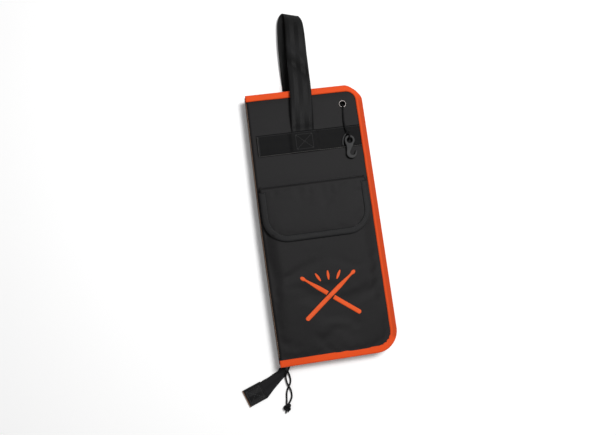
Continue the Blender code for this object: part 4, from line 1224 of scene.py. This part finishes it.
HANDLE_EDGES = (((-28.6, 127.0, 33.6), (8.4, 126.0, 33.6)), ((-28.2, 145.0, 33.6), (8.7, 144.0, 33.6)),
                ((-29.6, 162.0, 34.0), (9.2, 161.0, 34.0)), ((-28.8, 176.0, 38.4), (10.0, 175.0, 38.8)),
                ((-27.2, 200.0, 42.0), (11.6, 199.0, 42.4)), ((-24.6, 227.0, 41.4), (13.1, 226.0, 41.6)),
                ((-22.4, 255.0, 37.0), (14.6, 254.0, 37.0)), ((-20.4, 290.0, 30.2), (15.6, 288.0, 30.2)),
                ((-17.6, 325.0, 27.4), (17.2, 323.0, 27.4)), ((-15.2, 354.0, 24.0), (18.0, 351.0, 24.0)),
                ((-13.8, 376.0, 19.0), (17.0, 367.0, 19.0)), ((-15.8, 386.4, 12.6), (12.2, 379.0, 12.4)),
                ((-21.8, 383.6, 8.2), (9.6, 376.5, 6.4)), ((-26.6, 371.0, 7.6), (7.4, 366.0, 2.8)),
                ((-29.2, 350.0, 8.6), (6.4, 347.0, 1.3)), ((-31.4, 322.0, 8.8), (4.4, 319.0, 0.6)),
                ((-32.8, 285.0, 7.2), (3.4, 285.6, 0.55)), ((-33.4, 255.0, 2.6), (3.6, 255.0, 0.55)),
                ((-33.4, 225.0, 0.55), (3.6, 225.0, 0.55)), ((-33.4, 200.0, 0.55), (3.6, 200.0, 0.55)))
WEB = 1.1 * MM


def add_handle():
    """Webbing from under the band, over the top edge, round the fold and back to the other half."""
    steps = 219
    left = smooth_route([pair[0] for pair in HANDLE_EDGES], steps + 1)
    right = smooth_route([pair[1] for pair in HANDLE_EDGES], steps + 1)
    rows, painted_shade_amounts = [], []
    for index, (first, second) in enumerate(zip(left, right)):
        share = index / steps
        front = 1 - ease((share - 0.42) / 0.1)
        free = ease((share - 0.07) / 0.06) * (1 - ease((share - 0.86) / 0.04))
        row = []
        for across in spread(0, 1, 12):
            spot = first.lerp(second, across)
            cup = 0.3 * MM * (1 - (2 * across - 1) ** 2) * front * free
            past = ((spot.y - 283 * MM) + (spot.x + 1.7 * MM) * 1.1) * 0.7
            crease = 2.0 * MM * hump(past - 11 * MM, 9 * MM) - 1.6 * MM * hump(past + 7 * MM, 8 * MM)
            wave_up = 0.5 * MM * ripple(spot.x * 0.4, spot.y, 34 * MM, 41) * free * front
            row.append(spot + Vector((0, 0, cup + crease * front * free + wave_up)))
            # Painted shade in the webbing's diagonal crease, across the dip near y 172 mm, and over the
            # strap's back layer.
            fold = 0.95 * hump(past + 3 * MM, 8 * MM) + 0.5 * hump(spot.y - 172 * MM, 9 * MM)
            painted_shade_amounts.append(min(1.0, fold * front * free + 0.8 * (1 - front)))
        rows.append(row)
    strap = grid_piece("handle_webbing", rows, WEBBING, WEB, 0.0)
    soil(strap, painted_shade_amounts)
    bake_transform(strap)
    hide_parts("handle_strap")


def band_height(x):
    """Height of the band's upper face: it lies on the panel and climbs over the handle's end."""
    base = FRONT_FACE + 0.3 * MM + WEB
    lift = 1.6 * MM * ease((x + 36.5 * MM) / (6 * MM)) * (1 - ease((x - 12 * MM) / (6 * MM)))
    return base + lift


def add_band():
    """Webbing band over the handle's end, hemmed, with a crossed box of stitches on the handle."""
    rows = []
    for x in spread(BAND_LOW.x, BAND_HIGH.x, 91):
        row = []
        for y in spread(BAND_LOW.y, BAND_HIGH.y, 12):
            press = -0.35 * MM * math.exp(-min(y - BAND_LOW.y, BAND_HIGH.y - y) / (2.2 * MM))
            row.append(Vector((x, y + 0.25 * MM * ripple(x, 0, 30 * MM, 52), band_height(x) + press
                               + 0.15 * MM * ripple(x, y, 14 * MM, 51))))
        rows.append(row)
    band = grid_piece("front_webbing_band", flipped(rows), BAND_WEBBING, WEB)
    place(band, "front_half", "webbing", "front_band")

    def seam(first, second, steps):
        line = [Vector((x, y, band_height(x) + 0.12 * MM)) for x, y in between(first, second, steps)]
        return stitch_spots(line)

    low_hem, high_hem, end_x = BAND_LOW.y + 1.0 * MM, BAND_HIGH.y - 2.2 * MM, BAND_LOW.x + 2 * MM
    pale = seam((BAND_LOW.x, low_hem), (BAND_HIGH.x, low_hem), 60)
    spots = seam((BAND_LOW.x, high_hem), (BAND_HIGH.x, high_hem), 60)
    pale += seam((end_x, BAND_LOW.y + 2 * MM), (end_x, BAND_LOW.y + 36 * MM), 12)
    place(capsules("band_hem_stitches", pale, PALE_THREAD), "front_half", "webbing")
    lines = crossed_box(-24 * MM, BAND_LOW.y + 6 * MM, 5 * MM, BAND_HIGH.y - 6 * MM)
    end_x = BAND_LOW.x + 4 * MM
    lines.append(((end_x, BAND_LOW.y + 3 * MM), (end_x, BAND_HIGH.y - 3 * MM)))
    for first, second in lines:
        spots += seam(first, second, 12)
    place(capsules("band_stitches", spots, BLACK_THREAD), "front_half", "webbing")


# ---------------------------------------------------------------- front pocket, flap and emblem

def pocket_height(x, y):
    """Outer face of the pocket: sewn flat at the edges, standing off the panel at its mouth."""
    base = POCKET_LOW.z + 0.7 * MM
    rise = POCKET_RISE * min(1.0, max(0.0, (y - POCKET_LOW.y) / (POCKET_PLATEAU_Y - POCKET_LOW.y)))
    left = ease((x - POCKET_LOW.x - 2 * MM) / (24 * MM))
    right = ease((right_edge(FRONT_HALF, y, BIND_WIDTH) - 3 * MM - x) / (24 * MM))
    soft = 0.45 * MM * ripple(x, y, 60 * MM, 61) + 0.2 * MM * ripple(x, y, 17 * MM, 62)
    return base + (rise + soft) * left * right


def add_pocket():
    """The front pocket's cloth, its hem, and the two hook-and-loop strips under the flap."""
    inset = 10 * MM
    levels = [level for level in panel_levels(FRONT_HALF, inset) if level < POCKET_HIGH.y - 3 * MM]
    levels.append(POCKET_HIGH.y)
    rows = panel_rows(FRONT_HALF, inset, SPINE_X + 1.2 * MM, pocket_height, 46, levels)
    panel = grid_piece("pocket_cloth", rows, NYLON)

    def held(co):
        """The sewn sides and the mouth stay put."""
        sides = min(co.x - SPINE_X, edge_distance(FRONT_HALF, co.x, co.y) - 9 * MM)
        return 1.0 if sides < 6 * MM or co.y > POCKET_HIGH.y - 4 * MM else 0.0

    crumple(panel, held, 0.9 * MM)
    tree = surface_of(panel)
    thicken(panel, 0.7 * MM)
    place(panel, "front_half", "shell_nylon", "pocket_panel")

    hem_y = POCKET_HIGH.y - 6 * MM
    hem = [Vector((x, hem_y, pocket_height(x, hem_y) + 0.1 * MM))
           for x in spread(SPINE_X + 4 * MM, SPINE_X + 188 * MM, 60)]
    hem_stitches = capsules("pocket_hem_stitches", settled(stitch_spots(hem), tree, 0.1 * MM), BLACK_THREAD)
    place(hem_stitches, "front_half", "shell_nylon")

    low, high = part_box("pocket_hook_strip")
    cut = 1 * MM
    corners = [(low.x + cut, low.y), (high.x - cut, low.y), (high.x, low.y + cut), (high.x, high.y - cut),
               (high.x - cut, high.y), (low.x + cut, high.y), (low.x, high.y - cut), (low.x, low.y + cut)]
    for name, node, body in (("pocket_hook_tape", "pocket_hook_strip", "front_half"),
                             ("flap_loop_tape", "flap_loop_strip", "pocket_flap")):
        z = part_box(node)[0].z
        strip = rounded_bar(name, corners, z, z + 1.1 * MM, LOOP_TAPE, 0.3 * MM)
        place(strip, body, "hook_and_loop", node)
    return panel, hem_stitches, tree


def emblem_strip(centre, turn, stations, lift):
    """A flat shape along a line: stations of (distance along, half width), laid on the pocket."""
    spin = Matrix.Rotation(turn, 2)
    rows = []
    for along, half_width in stations:
        row = []
        for part in range(5):
            spot = spin @ Vector((along, half_width * (part / 2 - 1)))
            x, y = centre[0] + spot.x, centre[1] + spot.y
            row.append(Vector((x, y, pocket_height(x, y) + lift)))
        rows.append(row)
    return grid_piece("emblem_strip", flipped(rows), EMBLEM_INK, 0.3 * MM)


def stick_stations(length, start=0.0, end=1.0):
    """Half widths along a drumstick from butt to tip, between two shares of its length."""
    shaft, neck, bead = 3.7 * MM, 1.8 * MM, 3.2 * MM
    butt_length, taper_length, bead_length = 3 * MM, 40 * MM, 9.6 * MM
    stations = []
    for share in spread(start, end, 60):
        from_tip = (1 - share) * length
        if share * length < butt_length:
            width = shaft * math.sqrt(max(0.05, 1 - (1 - share * length / butt_length) ** 2))
        elif from_tip > taper_length:
            width = shaft
        elif from_tip > bead_length:
            width = neck + (shaft - neck) * ease((from_tip - bead_length) / (taper_length - bead_length))
        else:
            swell = 1 - (2 * from_tip / bead_length - 1) ** 2
            width = max(bead * math.sqrt(max(0.0, swell)), neck * min(1.0, 2 * from_tip / bead_length))
        stations.append(((share - 0.5) * length, width))
    return stations


def add_emblem(tree):
    """A plain mark of two crossed drumsticks with three short beats above them."""
    centre = (-2 * MM, -127 * MM)
    length = 118 * MM
    lift = 0.55 * MM
    strips = [emblem_strip(centre, math.radians(38), stick_stations(length), lift),
              emblem_strip(centre, math.radians(142), stick_stations(length, 0.0, 0.448), lift),
              emblem_strip(centre, math.radians(142), stick_stations(length, 0.552, 1.0), lift)]
    for turn, reach in ((62, 37), (90, 34), (118, 37)):
        angle = math.radians(turn)
        spot = (centre[0] + reach * MM * math.cos(angle), centre[1] + reach * MM * math.sin(angle))
        dash = [((share - 0.5) * 16 * MM, 2.2 * MM * math.sin(math.pi * min(max(share, 0.06), 0.94)) ** 0.5)
                for share in (index / 16 for index in range(17))]
        strips.append(emblem_strip(spot, angle, dash, lift))
    for strip in strips:
        lay(strip, tree, lift)
        apply_modifiers(strip)
    mark = joined("emblem_crossed_sticks", strips)
    place(mark, "front_half", "emblem_print", "emblem")
    return mark


def flap_marks(inset):
    """The flap's free edge in plan, from its upper left corner round to its upper right."""
    left, right = FLAP_LOW.x, FLAP_HIGH.x
    bottom, top = FLAP_LOW.y, FLAP_HIGH.y
    radius = FLAP_RADIUS

    def corner(centre_x, start_turn, steps=14):
        marks = []
        for index in range(steps):
            turn = math.radians(start_turn + 90 * index / steps)
            out = Vector((math.cos(turn), math.sin(turn)))
            point = Vector((centre_x, bottom + radius)) + out * radius
            marks.append((point, out, math.sin(math.pi * index / steps)))
        return marks

    marks = [(Vector((left, y)), Vector((-1, 0)), 0.0) for y in spread(top, bottom + radius, 12)[:-1]]
    marks += corner(left + radius, 180)
    marks += [(Vector((x, bottom)), Vector((0, -1)), 0.0)
              for x in spread(left + radius, right - radius, 26)[:-1]]
    marks += corner(right - radius, 270)
    marks += [(Vector((right, y)), Vector((1, 0)), 0.0) for y in spread(bottom + radius, top, 12)]
    return [(point - out * inset, out, bend) for point, out, bend in marks]


def flap_height(x, y):
    """Outer face of the flap: down to the seam at the top, slightly full in the middle."""
    fall = ease((FLAP_SEAM_Y - y) / (6 * MM))
    middle = ease((x - FLAP_LOW.x) / (45 * MM)) * ease((FLAP_HIGH.x - x) / (45 * MM))
    middle *= ease((y - FLAP_LOW.y) / (30 * MM))
    soft = 0.3 * MM * ripple(x, y, 45 * MM, 71) + 0.16 * MM * ripple(x, y, 13 * MM, 72)
    return FLAP_SEAM_Z + 1 * MM + (FLAP_Z - FLAP_SEAM_Z - 1 * MM) * fall + (0.7 * MM * middle + soft) * fall


def flap_edge(y, inset):
    """Left and right limits of the flap at a height on the page."""
    radius = FLAP_RADIUS - inset
    drop = FLAP_LOW.y + FLAP_RADIUS - y
    trim = 0.0
    if drop > 0:
        trim = radius - math.sqrt(max(0.0, radius ** 2 - drop ** 2))
    return FLAP_LOW.x + inset + trim, FLAP_HIGH.x - inset - trim


def bend_at_seam(piece, slot, *nodes):
    """Bakes a flap piece's placement into its mesh and hides the frame parts it stands for."""
    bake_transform(piece)
    if nodes:
        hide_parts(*nodes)


def flap_tape_section():
    """Closed section of the flap's edge tape, as (inset, height)."""
    tape, wide = 0.55 * MM, FLAP_TAPE
    face, under = FLAP_Z + 0.35 * MM, FLAP_Z - 1.3 * MM
    middle = (face + under) / 2
    outer = [(wide, face + 0.1 * MM), (wide * 0.7, face + 0.25 * MM), (wide * 0.35, face + 0.2 * MM),
             (1.2 * MM, face), (0.35 * MM, face - 0.35 * MM), (0, middle),
             (0.35 * MM, under + 0.35 * MM), (1.2 * MM, under), (wide * 0.5, under), (wide, under)]
    inner = [(wide, under + tape), (wide * 0.5, under + tape), (1.6 * MM, under + tape), (0.9 * MM, middle),
             (1.6 * MM, face - tape), (wide * 0.35, face - tape * 0.6), (wide * 0.7, face - tape * 0.5),
             (wide, face - tape * 0.5)]
    return outer + inner


def add_flap():
    """The pocket's flap: its cloth, the tape round its free edge, and its stitches."""
    inset = 1.6 * MM
    low = FLAP_LOW.y + FLAP_RADIUS
    radius = FLAP_RADIUS - inset
    levels = [FLAP_SEAM_Y - step * MM for step in (0, 1.5, 3, 4.5, 6, 7.5, 9, 11)]
    levels += spread(levels[-1], low, 16)[1:]
    levels += [low - radius * math.sin(math.pi / 2 * index / 12) for index in range(1, 13)]
    rows = []
    for y in levels:
        left, right = flap_edge(y, inset)
        rows.append([Vector((x, y, flap_height(x, y))) for x in spread(left, right, 48)])
    panel = grid_piece("flap_cloth", flipped(rows), NYLON)

    def held(co):
        """The sewn top and the strip under the edge tape stay put."""
        edge = 12 * MM
        taped = co.x < FLAP_LOW.x + edge or co.x > FLAP_HIGH.x - edge or co.y < FLAP_LOW.y + edge
        return 1.0 if co.y > FLAP_SEAM_Y - 9 * MM or taped else 0.0

    crumple(panel, held, 0.6 * MM)
    tree = surface_of(panel)
    thicken(panel, 0.8 * MM)
    bend_at_seam(panel, "shell_nylon", "flap_panel")

    rows = []
    for run, point, out, bend in with_run(flap_marks(0)):
        pleat = bend * 0.35 * MM * abs(math.sin(run / (5.2 * MM)))
        row = []
        for inset_by, z in flap_tape_section():
            lip = ease(inset_by / FLAP_TAPE)
            wander = 0.35 * MM * lip * ripple(run, 0, 22 * MM, 81)
            rise = pleat * lip + 0.15 * MM * ripple(run, inset_by, 14 * MM, 82)
            spot = point - out * (inset_by + wander)
            row.append(Vector((spot.x, spot.y, z + rise)))
        rows.append(row)
    edge = grid_piece("flap_edge_tape", rows, BLACK_TAPE, closed=True)
    bend_at_seam(edge, "black_tape", "flap_binding")

    line = [Vector((point.x, point.y, FLAP_Z + 0.75 * MM))
            for point, _, _ in flap_marks(FLAP_TAPE - 1.6 * MM)]
    seam_y = FLAP_SEAM_Y - 1.4 * MM
    seam = [Vector((x, seam_y, flap_height(0, seam_y) + 0.2 * MM))
            for x in spread(FLAP_LOW.x + 5 * MM, FLAP_HIGH.x - 5 * MM, 50)]
    spots = stitch_spots(line) + settled(stitch_spots(seam), tree, 0.15 * MM)
    stitches = capsules("flap_stitches", spots, BLACK_THREAD)
    bend_at_seam(stitches, "black_tape")
    return panel, [edge, stitches]


# ---------------------------------------------------------------- zip tail and tab

TAIL_EDGES = (((-104.6, -238.6, 8.2), (-86.0, -239.0, 8.2)), ((-108.0, -243.6, 4.4), (-90.0, -247.5, 3.8)),
              ((-115.3, -247.0, 2.2), (-97.5, -255.2, 2.0)), ((-126.0, -252.2, 2.0), (-106.5, -263.0, 1.8)),
              ((-132.8, -254.6, 1.8), (-118.7, -273.8, 1.8)), ((-139.5, -257.6, 1.9), (-129.2, -284.0, 1.9)),
              ((-144.5, -260.6, 2.0), (-134.5, -286.0, 2.0)))


def add_tail():
    """Spare zip: both tapes folded along their length, with the teeth as a ridge."""
    steps = 49
    left = smooth_route([pair[0] for pair in TAIL_EDGES], steps + 1)
    right = smooth_route([pair[1] for pair in TAIL_EDGES], steps + 1)
    rows = []
    for index, (first, second) in enumerate(zip(left, right)):
        share = index / steps
        fold = 0.62 - 0.25 * share
        row = []
        for across in spread(0, 1, 14):
            ridge = 1.3 * MM * hump(across - fold, 0.09)
            slope = 0.5 * MM * ease((across - fold) / 0.3)
            uneven = 0.35 * MM * ripple(across, share, 0.4, 91)
            row.append(first.lerp(second, across) + Vector((0, 0, ridge - slope + uneven)))
        rows.append(row)
    tail = grid_piece("zip_tail_tape", rows, ZIP_TAPE, 1.6 * MM, 0.0)
    place(tail, "back_half", "zip_tape", "zipper_tail")


def add_tail_tab():
    """Webbing tab sewn over the spare zip's end, with a frayed raw edge."""
    low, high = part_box("tail_tab")
    centre = Vector(((low.x + high.x) / 2, (low.y + high.y) / 2, 0))
    turn = math.radians(19.5)
    spin = Matrix.Rotation(turn, 3, "Z")
    length, width = 33 * MM, 30.5 * MM
    stitch_inset = 4.2 * MM
    rows = []
    for along in spread(-length / 2, length / 2, 34):
        row = []
        for side in spread(-width / 2, width / 2, 32):
            edge = min(along + length / 2, length / 2 - along, width / 2 - abs(side))
            z = 2.2 * MM + 1.9 * MM * ease(edge / (1.6 * MM) + 0.25)
            z -= 0.45 * MM * hump(edge - stitch_inset, 1.0 * MM)
            z += 0.3 * MM * ripple(along, side, 8 * MM, 95)
            row.append(centre + spin @ Vector((along, side, z)))
        rows.append(row)
    top = grid_piece("tab_top", flipped(rows), WEBBING, 1.2 * MM)
    corners = box_corners(-length / 2, -width / 2, length / 2, width / 2)
    base = rounded_bar("tab_base", corners, 0.15 * MM, 2.6 * MM, WEBBING, 0.6 * MM,
                       Matrix.Translation(centre) @ Matrix.Rotation(turn, 4, "Z"))
    for piece in (top, base):
        apply_modifiers(piece)
    place(joined("zip_tail_tab", [top, base]), "back_half", "webbing", "tail_tab")

    spots = []
    reach_x, reach_y = length / 2 - stitch_inset, width / 2 - stitch_inset
    for first, second in crossed_box(-reach_x, -reach_y, reach_x, reach_y):
        spots += stitch_spots([centre + spin @ Vector((x, y, 4.1 * MM)) for x, y in between(first, second, 8)])
    place(capsules("tab_stitches", spots, BLACK_THREAD), "back_half", "webbing")
    fray = []
    threads = 110
    for index in range(threads):
        side = -width / 2 + width * (index + 0.5) / threads
        jitter = noise.noise(Vector((index * 0.73, 1.7, 0.2)))
        spot = centre + spin @ Vector((-length / 2 - 0.2 * MM, side, 2.4 * MM + 1.3 * MM * jitter))
        ahead = spin @ Vector((-1, 0.5 * noise.noise(Vector((index * 1.3, 0.4, 5.0))), 0.3 * jitter))
        fray.append((spot, ahead, (0, 0, 1), 1.5 * MM + 0.6 * MM * jitter, 0.4 * MM, 0.4 * MM))
    raw = [centre + spin @ Vector((-length / 2 + 0.1 * MM, side, 3.0 * MM))
           for side in spread(-width / 2, width / 2, 30)]
    pieces = [capsules("fray", fray, RAW_EDGE, 5), tube_piece("raw", raw, 0.8 * MM, RAW_EDGE, 8)]
    place(joined("tab_raw_edge", pieces), "back_half", "webbing")


# ---------------------------------------------------------------- inside pockets

def add_mouth_tape(name, xs, y_top, height, body, node, sign=1):
    """Folded tape over a pocket's mouth. height(x) is the wall's outer face there."""
    depth, tape, wall = 10 * MM, 0.5 * MM, 0.8 * MM
    section = ((depth, 0.7 * MM), (2 * MM, 0.8 * MM), (0.3 * MM, 0.4 * MM), (0, -wall / 2),
               (0.3 * MM, -wall - 0.4 * MM), (2 * MM, -wall - 0.7 * MM), (depth, -wall - 0.7 * MM),
               (depth, -wall - 0.7 * MM + tape), (2 * MM, -wall - 0.2 * MM), (0.9 * MM, -wall / 2),
               (2 * MM, 0.25 * MM), (depth, 0.2 * MM))
    rows = []
    for x in xs:
        row = []
        for drop, off in section:
            y, z = y_top - drop, height(x) + sign * off
            row.append(Vector((x, y + 0.25 * MM * ripple(x, y, 25 * MM, 17),
                               z + 0.1 * MM * ripple(x, y, 9 * MM, 18))))
        rows.append(row)
    piece = grid_piece(name, flipped(rows) if sign < 0 else rows, ORANGE_TAPE, closed=True)
    place(piece, body, "orange_binding", node)
    line = [Vector((x, y_top - depth + 1.6 * MM, height(x) + sign * 0.85 * MM)) for x in xs]
    thread = capsules(name + "_stitches", stitch_spots(line, (0, 0, sign)), ORANGE_THREAD)
    place(thread, body, "orange_binding")


def add_stick_sleeve():
    """Two soft stick compartments on the back lining, closed at the bottom, bound at the mouth."""
    base = SLEEVE_LOW.z
    top = SLEEVE_HIGH.z
    middle = (SLEEVE_LOW.x + SLEEVE_HIGH.x) / 2
    halves = ((SLEEVE_LOW.x, middle), (middle, SLEEVE_HIGH.x))

    def outer(x, fill):
        start, end = halves[0] if x < middle else halves[1]
        centre, half_width = (start + end) / 2, (end - start) / 2
        share = min(1.0, abs(x - centre) / half_width)
        return base + (top - base) * fill * (1 - share ** 5) ** 0.45

    xs = []
    for start, end in halves:
        for index in range(29):
            turn = math.pi * index / 28
            xs.append((start + end) / 2 - (end - start) / 2 * math.cos(turn))
    xs = sorted(set(round(x, 6) for x in xs))
    rows = []
    for y in spread(SLEEVE_LOW.y, SLEEVE_HIGH.y, 90):
        fill = ease((y - SLEEVE_LOW.y) / (14 * MM) + 0.02)
        row = []
        for x in xs:
            rise = outer(x, fill)
            soft = 0.5 * MM * ripple(x, y, 38 * MM, 13) - 0.3 * MM
            row.append(Vector((x, y, rise + soft * ease((rise - base) / (8 * MM)))))
        rows.append(row)
    sleeve = grid_piece("stick_sleeve_cloth", rows, LINING, SHELL_CLOTH)
    place(sleeve, "back_half", "lining", "stick_sleeve")
    sheet_cut(rows)
    tape_xs = [x for x in xs if outer(x, 1.0) > base + 5 * MM or abs(x - middle) < 8 * MM]
    add_mouth_tape("sleeve_mouth_tape", tape_xs, SLEEVE_HIGH.y + 1 * MM,
                   lambda x: max(outer(x, 1.0), base + 2.0 * MM), "back_half", "sleeve_binding")
    spots = []
    for x in (SLEEVE_LOW.x + 0.6 * MM, middle, SLEEVE_HIGH.x - 0.6 * MM):
        line = [Vector((x, y, base + 0.4 * MM))
                for y in spread(SLEEVE_LOW.y + 4 * MM, SLEEVE_HIGH.y - 16 * MM, 60)]
        spots += stitch_spots(line)
    place(capsules("sleeve_stitches", spots, BLACK_THREAD), "back_half", "lining")


def add_inner_pocket():
    """A flat pocket on the front half's lining, seen when the bag is open."""
    face = INNER_LOW.z
    ceiling = INNER_HIGH.z

    def height(x, y):
        sides = min(x - INNER_LOW.x, INNER_HIGH.x - x, y - INNER_LOW.y)
        drop = ease(sides / (9 * MM))
        soft = 0.4 * MM * ripple(x, y, 40 * MM, 14)
        return ceiling - (ceiling - face) * drop + soft * drop * 0.5

    rows = [[Vector((x, y, height(x, y))) for x in spread(INNER_LOW.x, INNER_HIGH.x, 46)]
            for y in spread(INNER_LOW.y, INNER_HIGH.y, 63)]
    pocket = grid_piece("inner_pocket_cloth", flipped(rows), LINING, SHELL_CLOTH)
    place(pocket, "front_half", "lining", "inner_pocket")
    sheet_cut(rows)
    xs = spread(INNER_LOW.x + 3 * MM, INNER_HIGH.x - 3 * MM, 60)
    add_mouth_tape("inner_pocket_mouth_tape", xs, INNER_HIGH.y + 1 * MM,
                   lambda x: height(x, INNER_HIGH.y), "front_half", "inner_pocket_binding", -1)


# ---------------------------------------------------------------- the whole bag

set_stage()
add_binding("front_edge_tape", FRONT_HALF, FRONT_LOW.z, "front_half", "front_binding", 101, 3.4 * MM)
add_binding("back_edge_tape", BACK_HALF, BACK_LOW.z, "back_half", "back_binding", 107, 0.0, (-36 * MM, 7 * MM))
add_panels()
add_spine()
add_stringer("back_zip", "back_stringer", "back_half", True)
add_stringer("front_zip", "front_stringer", "front_half", False)
add_slider()
add_pull_cord()
add_hook()
add_eyelet()
add_handle()
add_band()
pocket_piece, pocket_stitches, pocket_tree = add_pocket()
emblem_piece = add_emblem(pocket_tree)
flap_piece, flap_trim = add_flap()
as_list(flap_trim)
add_tail()
add_tail_tab()
add_stick_sleeve()
add_inner_pocket()
